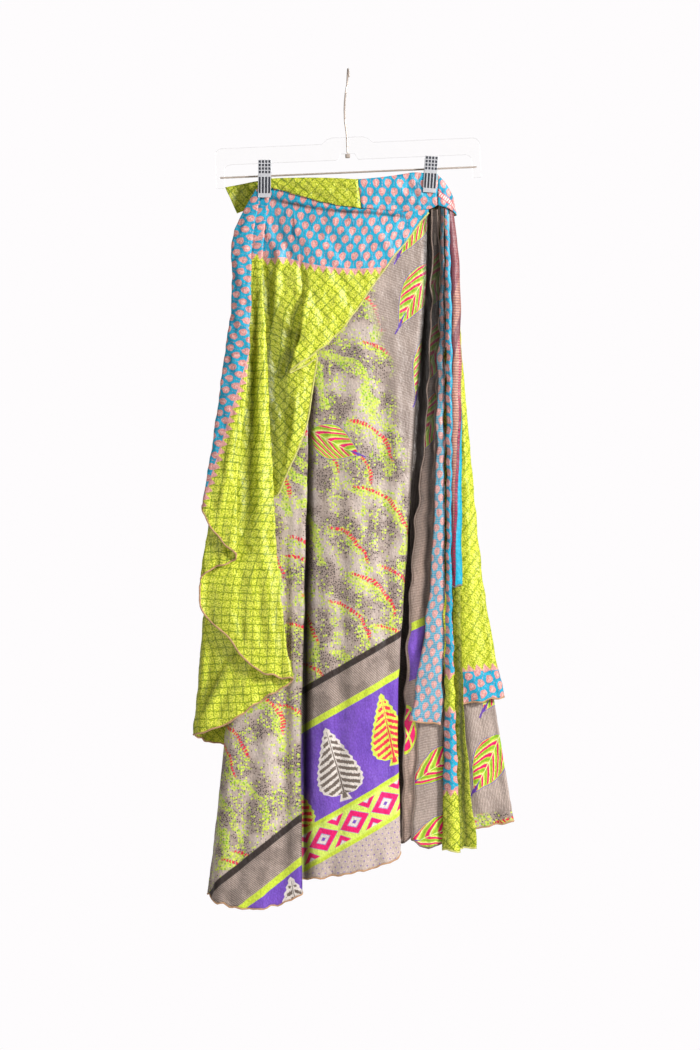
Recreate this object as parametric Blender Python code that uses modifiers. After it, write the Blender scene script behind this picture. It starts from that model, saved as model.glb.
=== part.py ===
"""Two-layer silk wrap skirt hung by two clips on a clear hanger.

Metres, +Z up, +X to the right of the front, -Y towards the front.  The origin is where the
hook is held: the underside of its top bend.  The tables below are in millimetres.  In them
'across' is X, 'depth' is Y (minus is forwards) and 'drop' is the distance below the origin.
"""
from collections import namedtuple
from math import cos, pi, radians, sin

import bmesh
import bpy
from mathutils import Matrix, Vector

MM = 0.001
OBJECT_NAME = "wrap_skirt_on_clip_hanger"

# Cloth
WALL = 1.2                      # thickness of each cloth wall
SEAM_GAP = 0.3                  # clearance between pieces that meet
LAYER_PITCH = 2.2               # spacing of the cloth layers pressed together at the waist
WAIST_BOW = 8.0                 # how far front and back part midway between the clips
BOW_HALF_WIDTH = 100.0          # where the layers come together at each clip
CORNER_SHARE = 0.42             # share of a span that a fold's rounding takes
LEVELS = (0.0, 0.15, 0.35, 0.55, 0.78, 1.0)   # where along a fold its places are given

# Clip hanger
TILT = radians(2.45)            # the right end of the hanger sits higher
TILT_DROP = 109.0               # drop of the point the hanger tilts about
HANGER_HALF_WIDTH = 177.0
BAR_TOP, BAR_FOOT = 98.0, 120.0
ARM_INNER, ARM_FOOT = 166.0, 151.0
BODY_THICKNESS = 6.0
ROD_DROP, ROD_RADIUS, ROD_HALF_LENGTH = 137.0, 1.25, 171.5
HOOK_RADIUS, WIRE_RADIUS = 18.0, 1.25
NUT_RADIUS = 3.2
CLIP_WIDTH = 17.0
CLIP_LEFT, CLIP_RIGHT = -110.5, 111.0
JAW_WALL = 1.3

Fold = namedtuple("Fold", "top hem across depth")


# --------------------------------------------------------------------------- scene helpers

def clear_scene():
    """Remove every object of the file."""
    for thing in list(bpy.data.objects):
        bpy.data.objects.remove(thing, do_unlink=True)


def material(name, colour, roughness=0.5, metallic=0.0, alpha=1.0):
    """A Principled BSDF material of one colour."""
    made = bpy.data.materials.get(name)
    if made:
        return made
    made = bpy.data.materials.new(name)
    made.use_nodes = True
    shader = made.node_tree.nodes["Principled BSDF"]
    shader.inputs["Base Color"].default_value = (*colour, 1.0)
    shader.inputs["Roughness"].default_value = roughness
    shader.inputs["Metallic"].default_value = metallic
    shader.inputs["Alpha"].default_value = alpha
    return made


def place(across, depth, drop):
    """A point of the tables in metres."""
    return Vector((across * MM, depth * MM, -drop * MM))


def add_object(name, data, collection, finish):
    """Link new data to the collection under the sub-part's name and material."""
    thing = bpy.data.objects.new(name, data)
    data.materials.append(finish)
    collection.objects.link(thing)
    return thing


# --------------------------------------------------------------------------- cloth

def bow(across):
    """How far the waist bulges at a place between the clips."""
    share = min(1.0, abs(across) / BOW_HALF_WIDTH)
    return WAIST_BOW * (1.0 - share * share)


def spline(points, steps):
    """Catmull-Rom curve through points, given as steps + 1 points evenly along them."""
    spans = len(points) - 1
    found = []
    for step in range(steps + 1):
        at = spans * step / steps
        i = min(int(at), spans - 1)
        t = at - i
        a, b = points[max(i - 1, 0)], points[i]
        c, d = points[i + 1], points[min(i + 2, spans)]
        found.append(0.5 * (2 * b + (c - a) * t + (2 * a - 5 * b + 4 * c - d) * t * t
                            + (3 * b - a - 3 * c + d) * t ** 3))
    return found


def rail(fold, steps, waist):
    """The points of one fold line from its top to its hem."""
    shares = LEVELS if len(fold.across) == len(LEVELS) else (0.0, 1.0)
    depths = list(fold.depth)
    if waist is not None:
        depths[0] = waist + bow(fold.across[0]) * (1 if waist > 0 else -1)
    points = [place(x, y, fold.top + (fold.hem - fold.top) * share)
              for x, y, share in zip(fold.across, depths, shares)]
    return spline(points, steps)


def rounded_row(corners):
    """A row across the cloth whose fold lines are rounded off, three points a fold."""
    row = [corners[0]]
    for before, corner, after in zip(corners, corners[1:], corners[2:]):
        reach = CORNER_SHARE * min((before - corner).length, (after - corner).length)
        into = corner + (before - corner).normalized() * reach
        out = corner + (after - corner).normalized() * reach
        row += [into, (into + out) / 4 + corner / 2, out]
    row.append(corners[-1])
    return row


def cloth_rows(folds, down, waist=None):
    """The cloth's points, row by row from the top to the hem."""
    rails = [rail(fold, down, waist) for fold in folds]
    return [rounded_row([line[i] for line in rails]) for i in range(down + 1)]


def sheet_object(name, rows, wall, collection, finish):
    """A grid moved onto the rows of points and given its wall."""
    across, down = len(rows[0]), len(rows)
    mesh = bpy.data.meshes.new(name)
    form = bmesh.new()
    bmesh.ops.create_grid(form, x_segments=across - 1, y_segments=down - 1, size=1.0)
    form.verts.ensure_lookup_table()
    order = sorted(form.verts, key=lambda v: (-round(v.co.y, 5), round(v.co.x, 5)))
    for vert, point in zip(order, [point for row in rows for point in row]):
        vert.co = point
    form.to_mesh(mesh)
    form.free()
    mesh.shade_smooth()
    thing = add_object(name, mesh, collection, finish)
    thickness = thing.modifiers.new("wall", 'SOLIDIFY')
    thickness.thickness = wall * MM
    thickness.offset = 0.0
    return thing


def cloth(name, folds, down, collection, finish, waist=None):
    """A cloth piece from its fold lines."""
    return sheet_object(name, cloth_rows(folds, down, waist), WALL, collection, finish)


# The side seams, where a front piece and the back piece share one fold line.
UNDER_SEAM = Fold(150, 1100, (-116, -126, -138, -149, -164, -186), (0,) * 6)
OVER_SEAM = Fold(162, 888, (-123, -144, -156, -173, -192, -205), (0,) * 6)
SEAM_SHIFT = 0.8                # from a seam to each piece's edge, SEAM_GAP apart at its corner


def seam_side(fold, side):
    """A seam's fold line moved to the edge of the front (-1) or back (+1) piece."""
    return fold._replace(depth=tuple(y + side * SEAM_SHIFT for y in fold.depth))


UNDERSKIRT_FRONT = [
    seam_side(UNDER_SEAM, -1),
    Fold(150, 1108, (-113, -121, -131, -142, -158, -178), (0, -6, -9, -14, -20, -30)),
    Fold(150, 1117, (-98, -104, -113, -120, -128, -132), (0, -9, -13, -19, -27, -42)),
    Fold(150, 1112, (-80, -80, -80, -84, -90, -94), (0, -12.5, -13.5, -18, -25, -38)),
    Fold(150, 1096, (-63, -58, -52, -57, -63, -59), (0, -15, -16.5, -21, -28, -41)),
    Fold(150, 1088, (-59, -55, -54, -59, -65, -62), (0, -12.8, -13, -17, -23, -34)),
    Fold(150, 1082, (-53, -52, -66, -77, -86, -86), (0, -10.6, -12.5, -15.5, -21, -31)),
    Fold(150, 1080, (-49, -49, -65, -76, -85, -85), (0, -8.8, -8.5, -10, -14, -23)),
    Fold(150, 1077, (-36, -36, -34, -36, -38, -40), (0, -10.5, -11.5, -14, -19, -27)),
    Fold(150, 1070, (-5, 2, 6, 6, 3, 0), (0, -15, -17, -22, -28, -34)),
    Fold(150, 1062, (45, 48, 48, 44, 38, 38), (0, -14, -18, -23, -28, -33)),
    Fold(150, 1050, (98, 99, 86, 76, 63, 68), (0, -9, -13, -17, -20, -24)),
    Fold(150, 1046, (105, 105, 92, 80, 68, 73), (0, -6, -8, -12, -15, -19)),
    Fold(150, 1041, (109, 103, 88, 75, 62, 66), (0, -3, -2, -4, -6, -10)),
]

UNDERSKIRT_BACK = [
    seam_side(UNDER_SEAM, 1),
    Fold(150, 1092, (-113, -120, -129, -140, -155, -175), (2.2, 6, 9, 13, 18, 22)),
    Fold(150, 1068, (-72, -78, -86, -94, -104, -114), (6.8, 10, 17, 23, 30, 36)),
    Fold(150, 1056, (-38, -44, -50, -56, -62, -64), (9.2, 11, 13, 16, 20, 25)),
    Fold(150, 1048, (-4, -5, -6, -8, -8, -8), (10.2, 13, 19, 25, 32, 38)),
    Fold(150, 1036, (30, 32, 36, 40, 46, 50), (9.6, 11, 14, 17, 21, 26)),
    Fold(150, 1024, (66, 72, 80, 90, 100, 108), (7.3, 10, 16, 22, 28, 34)),
    Fold(150, 1014, (100, 112, 126, 142, 158, 172), (3.7, 6, 11, 15, 19, 24)),
    Fold(150, 1006, (116, 133, 149, 167, 192, 221), (2.2, 4.5, 7, 9, 12, 16)),
    Fold(150, 1005, (116, 133, 149, 167, 193, 223), (-2.2, 0, 0, 1, 3, 6)),
    Fold(150, 1014, (98, 110, 122, 135, 152, 180), (-2.2, 0, 0.5, 2, 5, 9)),
    Fold(150, 1018, (88, 98, 102, 108, 116, 130), (-2.2, 0.5, 1.5, 4, 8, 12)),
    Fold(150, 1026, (78, 84, 84, 84, 84, 90), (-2.2, 1, 2, 5, 8, 11)),
]

OVERSKIRT_BACK = [
    seam_side(OVER_SEAM, 1),
    Fold(152, 902, (-117, -137, -148, -162, -178, -190), (4.4, 8, 16, 23, 30, 36)),
    Fold(152, 908, (-74, -86, -96, -106, -116, -124), (8.9, 14, 28, 37, 46, 54)),
    Fold(152, 896, (-40, -48, -56, -64, -70, -76), (11.4, 15, 22, 27, 33, 40)),
    Fold(152, 888, (-6, -8, -10, -12, -14, -16), (12.4, 17, 29, 39, 48, 56)),
    Fold(152, 874, (28, 29, 30, 32, 34, 36), (12.0, 15, 21, 26, 33, 40)),
    Fold(152, 862, (64, 70, 78, 86, 94, 102), (9.7, 14, 26, 35, 44, 52)),
    Fold(152, 850, (100, 114, 126, 140, 154, 166), (6.0, 10, 18, 24, 30, 36)),
    Fold(152, 840, (121, 141, 153, 165, 181, 208), (4.4, 7, 10, 13, 16, 19)),
    Fold(152, 838, (121, 142, 154, 166, 182, 209), (-4.4, -4, -4, -4, -4, -4)),
    Fold(152, 845, (116, 132, 140, 144, 152, 170), (-4.4, -5, -6, -6, -6, -5)),
    Fold(152, 850, (111, 121, 125, 121, 121, 131), (-4.4, -5, -5.5, -6, -5, -4)),
]

# Front edge of the overskirt: the cloth's left part ends in a wedge, then it turns back under
# itself and comes forward again, and its free edge climbs to the right end of the waist.
OVERSKIRT_FRONT = [
    Fold(152, 566, (-112, -124, -128, -128, -124, -119), (0, -9.4, -10.5, -12, -14.5, -17)),
    Fold(152, 573, (-104, -112, -112, -110, -103, -95), (0, -10.5, -12.5, -15, -18, -21)),
    Fold(152, 547, (-95, -100, -98, -95, -90, -83), (0, -11.5, -15, -18, -21, -23)),
    Fold(152, 515, (-87, -90, -87, -83, -77, -69), (0, -13, -16, -19, -21, -22)),
    Fold(152, 475, (-80, -80, -77, -72, -64, -53), (0, -14, -17, -19, -20, -21)),
    Fold(152, 432, (-74, -72, -70, -67, -59, -47), (0, -14.5, -17, -18.5, -19, -19.6)),
    Fold(152, 385, (-69, -67, -64, -61, -53, -40), (0, -15, -17, -18.1, -17.8, -18)),
    Fold(152, 387, (-65, -63.5, -60.5, -58, -53, -39), (0, -15.2, -17.8, -20.9, -22.1, -23.4)),
    Fold(152, 407, (-61, -60, -57.5, -56, -61, -76), (0, -15.4, -18.6, -23.3, -25.3, -27)),
    Fold(152, 404, (-57, -56.5, -54.5, -53, -60, -77), (0, -15.6, -19.4, -25.5, -28.4, -31)),
    Fold(152, 391, (-48, -48, -46, -45, -50, -58), (0, -15.8, -19.4, -25.5, -29.4, -32)),
    Fold(152, 376, (-38, -36, -34, -33, -35, -37), (0, -16, -19, -23.5, -27, -29)),
    Fold(152, 358, (-22, -21, -20, -19, -18, -16), (0, -17, -19, -22, -24.5, -26)),
    Fold(152, 341, (-8, -7, -6, -5, -3, -1), (0, -17, -19, -21, -22.5, -23.5)),
    Fold(152, 306, (16, 17, 18, 20, 21, 23), (0, -17, -18, -19.5, -21, -21.5)),
    Fold(152, 266, (45, 46, 47, 48, 49, 50), (0, -15.7, -16.2, -17, -18, -18.5)),
    Fold(152, 213, (84, 85, 86, 88, 90, 92), (0, -11.4, -11.4, -11.2, -11, -11)),
    Fold(152, 190, (108, 108, 108, 108, 108, 108), (0, -9, -9, -9, -9, -9)),
]

# The cascade: the cloth is stacked in folds whose hems step down from the front one.
OVERSKIRT_SIDE = [
    Fold(162, 570, (-122.5, -150, -152, -162, -174, -187), (-13.9, -15.5, -20, -25, -30, -37)),
    Fold(162, 586, (-122.5, -153, -154, -165, -178, -194), (-16.8, -20, -27, -33, -40, -46)),
    Fold(162, 626, (-118, -140, -142, -149, -158, -170), (-18, -28, -36, -42, -50, -55)),
    Fold(162, 648, (-114.5, -126, -128, -133, -144, -144), (-18, -27, -35, -42, -50, -55)),
    Fold(162, 654, (-114.5, -127, -129, -135, -146, -146), (-15.8, -22, -29, -36, -43, -48)),
    Fold(162, 663, (-116.5, -135, -139, -150, -163, -173), (-15.8, -20, -26, -33, -40, -45)),
    Fold(162, 677, (-118.6, -142, -146, -157, -176, -197), (-15.8, -19, -24, -29, -36, -41)),
    Fold(162, 724, (-118.6, -142, -147, -158, -178, -196), (-13.7, -16, -19, -24, -31, -36)),
    Fold(162, 752, (-114, -132, -137, -144, -153, -160), (-13.7, -17, -22, -27, -34, -40)),
    Fold(162, 790, (-109, -123, -125, -128, -131, -133), (-13.7, -18, -24, -31, -38, -44)),
    Fold(162, 806, (-106, -117, -116, -115, -111, -106), (-13.7, -19, -26, -33, -40, -46)),
    Fold(162, 811, (-103.5, -113, -107, -100, -91, -74), (-13.7, -18.5, -25, -30, -36, -41)),
    Fold(162, 818, (-103.5, -114, -109, -102, -93, -76), (-11.6, -14.5, -19, -24, -30, -34)),
    Fold(162, 842, (-109, -126, -125, -124, -121, -118), (-11.6, -14, -17, -21, -28, -33)),
    Fold(162, 872, (-114, -135, -142, -150, -156, -158), (-11.6, -13, -16, -20, -26, -32)),
    Fold(162, 886, (-119, -141, -152, -169, -189, -200), (-8.5, -11, -13, -15, -18, -22)),
    seam_side(OVER_SEAM, -1),
]

# The narrow folds at the right, each seen end on.  Their tops lie inside the tie's loop.
PLAIN_FOLD = [
    Fold(187, 1032, (112.5, 112, 107, 93, 86, 81), (-6.2, -5, -4, -4, -4, -5)),
    Fold(187, 1024, (116, 118, 116, 103, 98, 93), (-6.2, -6.4, -6.6, -7, -8, -9)),
    Fold(187, 1012, (119.6, 126, 126, 118, 112, 106), (-6.2, -7, -7.6, -8.6, -10, -11)),
]
LEAF_FOLD = [
    Fold(172, 1028, (122.5, 125, 117, 112, 97, 85), (-5.9, -9.6, -10.6, -10.8, -11, -12)),
    Fold(172, 1040, (125.4, 128, 123, 120, 112, 106), (-5.9, -11.4, -12.6, -13, -14, -16)),
    Fold(172, 1031, (128, 131, 129, 128, 127, 129), (-5.7, -11, -11.8, -12, -12.4, -13)),
]
BORDER_EDGE_FOLD = [
    Fold(172, 868, (124.3, 124, 120, 117, 107, 83), (-8.1, -13, -14, -15.2, -16, -18)),
    Fold(172, 871, (126.1, 126.5, 125, 124, 119, 104), (-8.1, -14.6, -16, -17.6, -19, -21)),
    Fold(172, 873, (127.9, 129, 128.5, 129, 129, 125), (-7.9, -14, -15, -16, -17, -18)),
]
BORDER_FOLD = [
    Fold(172, 1039, (129.6, 130.8, 131.5, 131.5, 129, 126), (-7.3, -18, -20, -21, -21, -21)),
    Fold(172, 1042, (131.8, 134, 136.5, 135, 136, 138), (-6.4, -20, -22, -23, -24, -25)),
    Fold(172, 1041, (134, 138, 139, 138, 143, 150), (-5.4, -19, -20, -21, -21, -21)),
]
GREEN_PLEAT = [
    Fold(176, 1038, (135.8, 138, 139, 139, 139, 140), (-3.2, -8.4, -9.4, -10, -12, -15)),
    Fold(176, 1041, (137, 141, 143.5, 145, 147, 147), (-2.7, -9.4, -10.6, -12.4, -15, -19)),
    Fold(176, 1040, (138.2, 144.5, 147.6, 149.6, 151.6, 153), (-2.2, -9.2, -10.6, -12.2, -14, -17)),
    Fold(176, 1036, (139.4, 145, 148, 150, 152, 154.4), (-1.7, -7, -7.4, -8.2, -9.4, -12)),
    Fold(176, 1039, (140.4, 147.5, 150.6, 152.6, 155, 172), (-1.2, -6.2, -7.4, -8.2, -10, -15)),
]
TIE_FALL = [
    Fold(186, 688, (136, 136, 135, 133, 133, 136), (-8, -12.6, -14, -14, -14, -14)),
    Fold(186, 690, (138.4, 142.5, 142, 142, 142, 144), (-6.2, -15.4, -18, -18, -18, -18)),
    Fold(186, 688, (140.9, 149, 151, 152, 152, 152), (-3.8, -10.6, -12.6, -13, -13.2, -13.4)),
]

# The waistband and tie run round the waist, so each of their folds is a short upright line.
BAND_GREEN = [
    Fold(147, 158.5, (-118, -118), (-11.4, -11.4)),
    Fold(146.5, 159, (-100, -100), (-12.2, -12.2)),
    Fold(146, 170, (-64, -64), (-16.4, -16.4)),
    Fold(146.5, 179, (-34, -34), (-19, -19)),
    Fold(147.5, 184, (-8, -8), (-20.4, -20.4)),
    Fold(149, 187, (13.4, 18.4), (-20.4, -20.4)),
]
BAND_BLUE = [
    Fold(149, 187, (13.8, 18.8), (-20.4, -20.4)),
    Fold(146, 189, (44, 44), (-18.8, -18.8)),
    Fold(142, 191, (70, 70), (-16.2, -16.2)),
    Fold(138.5, 190, (88, 88), (-13.8, -13.8)),
    Fold(139, 189, (99, 99), (-11.7, -11.7)),
    Fold(140, 187, (110, 110), (-11, -11)),
    Fold(141, 182, (120, 120), (-11, -11)),
]
BAND_BACK = [
    Fold(156, 191, (-164, -148), (6, 6)),
    Fold(151.5, 186.5, (-142, -138), (8.8, 8.8)),
    Fold(147, 183, (-121, -121), (7.8, 8.4)),
    Fold(146, 183, (-98, -98), (8.8, 9.4)),
    Fold(145, 184, (-60, -60), (13.2, 15.2)),
    Fold(144, 185, (-20, -20), (16, 18)),
    Fold(143.5, 185, (20, 20), (16, 18)),
    Fold(142, 185, (60, 60), (13.2, 15.2)),
    Fold(141, 184, (98, 98), (8.8, 9.4)),
    Fold(142, 183, (121, 121), (7.8, 8.2)),
]
TIE_LOOP = [
    Fold(142, 182, (120.6, 120.6), (-11, -11.5)),
    Fold(149, 184, (128, 128.6), (-10, -12.6)),
    Fold(160, 189, (136, 139.5), (-6.5, -9.2)),
    Fold(172, 194, (142, 146.5), (-1, -1.5)),
    Fold(168, 195, (140, 143), (5, 5)),
    Fold(155, 190, (131, 131), (8, 8)),
    Fold(145, 184, (121.4, 121.4), (7.8, 8.2)),
]

SILK = {
    "grey_print": (0.35, 0.30, 0.27),
    "green_lattice": (0.50, 0.55, 0.03),
    "blue_border": (0.03, 0.42, 0.60),
    "tie_stripe": (0.30, 0.13, 0.15),
}

CLOTH_PIECES = [
    # name, fold lines, rows down, silk, waist layer (depth there; None = as in the table)
    ("underskirt_front", UNDERSKIRT_FRONT, 16, "grey_print", -3 * LAYER_PITCH),
    ("underskirt_back", UNDERSKIRT_BACK, 16, "grey_print", None),
    ("overskirt_back", OVERSKIRT_BACK, 14, "green_lattice", None),
    ("overskirt_front", OVERSKIRT_FRONT, 11, "green_lattice", -4 * LAYER_PITCH),
    ("overskirt_side", OVERSKIRT_SIDE, 14, "green_lattice", None),
    ("underskirt_fold_plain", PLAIN_FOLD, 14, "grey_print", None),
    ("underskirt_fold_leaf", LEAF_FOLD, 14, "grey_print", None),
    ("overskirt_fold_border", BORDER_EDGE_FOLD, 14, "blue_border", None),
    ("underskirt_fold_border", BORDER_FOLD, 14, "blue_border", None),
    ("underskirt_pleat_green", GREEN_PLEAT, 14, "green_lattice", None),
    ("tie_fall", TIE_FALL, 12, "tie_stripe", None),
    ("waistband_front_green", BAND_GREEN, 2, "green_lattice", None),
    ("waistband_front_blue", BAND_BLUE, 3, "blue_border", None),
    ("waistband_back", BAND_BACK, 2, "green_lattice", None),
    ("tie_loop", TIE_LOOP, 3, "blue_border", None),
]


def build_cloth(collection):
    """All the cut and sewn pieces."""
    for name, folds, down, silk, waist in CLOTH_PIECES:
        finish = material(silk, SILK[silk], roughness=0.45)
        cloth(name, folds, down, collection, finish, waist)


LABEL_DROPS, LABEL_WALL = (218, 243), 0.6


def build_label(collection):
    """The small blank label, on the plain fold's face."""
    rows = cloth_rows(PLAIN_FOLD, 160)
    lift = (WALL + LABEL_WALL) / 2 + SEAM_GAP
    chosen = [row for row in rows if LABEL_DROPS[0] <= -row[0].z / MM <= LABEL_DROPS[1]]
    face = []
    for row in chosen[::2]:
        first, last = row[1], row[3]
        normal = (last - first).cross(Vector((0, 0, 1))).normalized()
        forwards = normal if normal.y < 0 else -normal
        spots = [first.lerp(last, share) for share in (0.0, 1.0)]
        face.append([spot + forwards * lift * MM for spot in spots])
    finish = material("label", (0.20, 0.17, 0.15), roughness=0.8)
    sheet_object("label", face, LABEL_WALL, collection, finish)


# --------------------------------------------------------------------------- hanger

def hanger_frame():
    """The hanger's own frame, tilted in the plane of the skirt."""
    pivot = Matrix.Translation(place(0, 0, TILT_DROP))
    return pivot @ Matrix.Rotation(-TILT, 4, 'Y') @ pivot.inverted()


def hanger_outline():
    """Right half of the clear body's front outline, from the middle of its top."""
    corner = 9.0
    top_end = HANGER_HALF_WIDTH - corner
    end_arc = [(top_end + corner * sin(radians(a)), BAR_TOP + corner - corner * cos(radians(a)))
               for a in range(0, 91, 30)]
    inner_arc = [(ARM_INNER - corner + corner * sin(radians(a)),
                  BAR_FOOT + corner - corner * cos(radians(a))) for a in range(90, -1, -30)]
    hump = [(0, 90), (20, 90), (27, 92), (34, BAR_TOP)]
    recess = [(14, BAR_FOOT), (9, 112), (0, 112)]
    arm = [(HANGER_HALF_WIDTH, ARM_FOOT), (ARM_INNER, ARM_FOOT)]
    return hump + end_arc + arm + inner_arc + recess


def cylinder(name, radius, start, end, collection, sides=16):
    """A cylinder between two places, as a mesh object."""
    mesh = bpy.data.meshes.new(name)
    form = bmesh.new()
    bmesh.ops.create_cone(form, cap_ends=True, segments=sides, radius1=radius * MM,
                          radius2=radius * MM, depth=(end - start).length)
    turn = Vector((0, 0, 1)).rotation_difference(end - start).to_matrix().to_4x4()
    form.transform(Matrix.Translation((start + end) / 2) @ turn)
    form.to_mesh(mesh)
    form.free()
    thing = bpy.data.objects.new(name, mesh)
    collection.objects.link(thing)
    return thing


def build_hanger_body(collection, cutters):
    """The clear bar with its end arms, bored for the rod and the hook's stem."""
    half = hanger_outline()
    outline = half + [(-x, drop) for x, drop in reversed(half[1:-1])]
    curve = bpy.data.curves.new("hanger_body_outline", 'CURVE')
    curve.dimensions = '2D'
    curve.fill_mode = 'BOTH'
    curve.extrude = BODY_THICKNESS / 2 * MM
    line = curve.splines.new('POLY')
    line.points.add(len(outline) - 1)
    for point, (x, drop) in zip(line.points, outline):
        point.co = (x * MM, -drop * MM, 0, 1)
    line.use_cyclic_u = True
    flat = bpy.data.objects.new("hanger_body_outline", curve)
    collection.objects.link(flat)
    upright = Matrix.Rotation(pi / 2, 4, 'X')
    graph = bpy.context.evaluated_depsgraph_get()
    mesh = bpy.data.meshes.new_from_object(flat.evaluated_get(graph))
    bpy.data.objects.remove(flat, do_unlink=True)
    form = bmesh.new()
    form.from_mesh(mesh)
    bmesh.ops.remove_doubles(form, verts=form.verts, dist=0.00001)
    form.to_mesh(mesh)
    form.free()
    finish = material("clear_plastic", (0.95, 0.96, 0.97), roughness=0.08, alpha=0.25)
    body = add_object("hanger_body", mesh, collection, finish)
    body.matrix_world = hanger_frame() @ upright
    bores = (("rod_bore", ROD_RADIUS, place(-ROD_HALF_LENGTH - SEAM_GAP, 0, ROD_DROP),
              place(ROD_HALF_LENGTH + SEAM_GAP, 0, ROD_DROP)),
             ("stem_bore", WIRE_RADIUS, place(0, 0, 80), place(0, 0, 116)))
    for name, radius, start, end in bores:
        cutter = cylinder(name, radius + SEAM_GAP, start, end, cutters)
        cutter.matrix_world = hanger_frame()
        cutter.hide_render = True
        cutter.display_type = 'WIRE'
        cut = body.modifiers.new(name, 'BOOLEAN')
        cut.object = cutter


def wire(name, points, radius, collection, finish):
    """A round wire with closed ends along points."""
    curve = bpy.data.curves.new(name, 'CURVE')
    curve.dimensions = '3D'
    curve.bevel_depth = radius * MM
    curve.bevel_resolution = 2
    curve.use_fill_caps = True
    line = curve.splines.new('POLY')
    line.points.add(len(points) - 1)
    for point, spot in zip(line.points, points):
        point.co = (*spot, 1)
    return add_object(name, curve, collection, finish)


def hook_points():
    """The hook's route: its tip in front, over the top, down behind and in to the stem."""
    top = WIRE_RADIUS - HOOK_RADIUS
    arc = [place(2 - 2.5 * (a / 180.0), -HOOK_RADIUS * cos(radians(a)),
                 -top - HOOK_RADIUS * sin(radians(a))) for a in range(15, 181, 15)]
    shank = [place(-2.5, 16.5, 28), place(-3.6, 11, 40), place(-4, 4, 53), place(-3.6, 0.8, 66),
             place(-2.2, 0, 78)]
    stem = [hanger_frame() @ place(0, 0, drop) for drop in (87, 111)]
    return arc + shank + stem


def build_hanger(collection, cutters):
    """Hook, nut, rod and clear body."""
    steel = material("steel", (0.55, 0.55, 0.56), roughness=0.25, metallic=1.0)
    build_hanger_body(collection, cutters)
    frame = hanger_frame()
    wire("hanger_hook", hook_points(), WIRE_RADIUS, collection, steel)
    nut = cylinder("hanger_nut", NUT_RADIUS, place(0, 0, 112.3), place(0, 0, 117.5),
                   collection, sides=6)
    nut.data.materials.append(steel)
    nut.matrix_world = frame
    rod = wire("hanger_rod", [place(-ROD_HALF_LENGTH, 0, ROD_DROP),
                              place(ROD_HALF_LENGTH, 0, ROD_DROP)], ROD_RADIUS, collection, steel)
    rod.matrix_world = frame


# A jaw's side profile: (drop, depth of the front jaw's wall, depth of the back jaw's wall).
JAW_LEFT = ((121.5, -9.0, 9.5), (131, -7.4, 7.4), (141, -7.0, 7.0), (146, -14.3, 10.4),
            (154, -16.2, 10.8), (160, -19.9, 10.9), (166.5, -20.6, 10.9), (173, -21.4, 10.9))
JAW_RIGHT = ((116.5, -9.0, 9.5), (125, -7.4, 7.4), (131, -7.0, 7.0), (136.5, -13.2, 10.4),
             (146, -13.4, 10.8), (157, -13.4, 10.8), (165.5, -13.4, 10.8))


def build_jaw(name, profile, side, centre, lean, collection, steel):
    """One bent plate of a clip; side picks the front (1) or back (2) column of the profile."""
    columns = [Vector((x * MM, 0, 0)) for x in (-CLIP_WIDTH / 2, 0, CLIP_WIDTH / 2)]
    levels = [place(0, row[side], row[0]) for row in profile]
    rows = [[spot + step for step in columns] for spot in levels]
    jaw = sheet_object(name, rows, JAW_WALL, collection, steel)
    pivot = place(0, 0, profile[2][0])
    jaw.matrix_world = (Matrix.Translation(place(centre, 0, 0)) @ Matrix.Translation(pivot)
                        @ Matrix.Rotation(lean, 4, 'Y') @ Matrix.Translation(-pivot))


def build_sleeve(name, centre, collection, steel):
    """The coiled spring's sleeve round the rod, turned about the rod's axis."""
    inner, outer, half = ROD_RADIUS + 0.4, 5.6, 6.0
    mesh = bpy.data.meshes.new(name)
    form = bmesh.new()
    corners = ((-half, inner), (-half, outer), (half, outer), (half, inner))
    ring = [form.verts.new((x * MM, 0, radius * MM)) for x, radius in corners]
    for first, second in zip(ring, ring[1:] + ring[:1]):
        form.edges.new((first, second))
    form.to_mesh(mesh)
    form.free()
    sleeve = add_object(name, mesh, collection, steel)
    turned = sleeve.modifiers.new("turned", 'SCREW')
    turned.axis = 'X'
    turned.steps = 12
    turned.render_steps = 12
    turned.merge_threshold = 0.00001
    turned.use_merge_vertices = True
    turned.use_normal_flip = True
    sleeve.matrix_world = hanger_frame() @ Matrix.Translation(place(centre, 0, ROD_DROP))


def build_clips(collection):
    """The two clips on the rod."""
    steel = material("clip_steel", (0.62, 0.63, 0.65), roughness=0.22, metallic=1.0)
    clips = (("left", JAW_LEFT, CLIP_LEFT, 0.0), ("right", JAW_RIGHT, CLIP_RIGHT, radians(4)))
    for name, profile, centre, lean in clips:
        build_jaw(f"clip_{name}_jaw_front", profile, 1, centre, lean, collection, steel)
        build_jaw(f"clip_{name}_jaw_back", profile, 2, centre, lean, collection, steel)
        build_sleeve(f"clip_{name}_spring", centre, collection, steel)


def main():
    """Build the whole object in its collection."""
    clear_scene()
    collection = bpy.data.collections.new(OBJECT_NAME)
    cutters = bpy.data.collections.new("cutters")
    for group in (collection, cutters):
        bpy.context.scene.collection.children.link(group)
    build_cloth(collection)
    build_label(collection)
    build_hanger(collection, cutters)
    build_clips(collection)


main()
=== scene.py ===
"""Printed silk wrap skirt on its clip hanger: cloth shells with their creases, prints and
overlocked hems, the clear hanger, its wire and clips, and a plain studio.

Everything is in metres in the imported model's frame: +Z up, -Y towards the front, the origin
under the hook's top bend.  Tables and prints are in millimetres.  In them 'across' is X,
'depth' is Y (minus is forwards) and 'drop' is the distance below the origin.
"""
from __future__ import annotations

import logging
import math
from collections.abc import Iterator
from contextlib import contextmanager
from dataclasses import dataclass
from enum import Enum
from typing import NamedTuple

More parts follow.
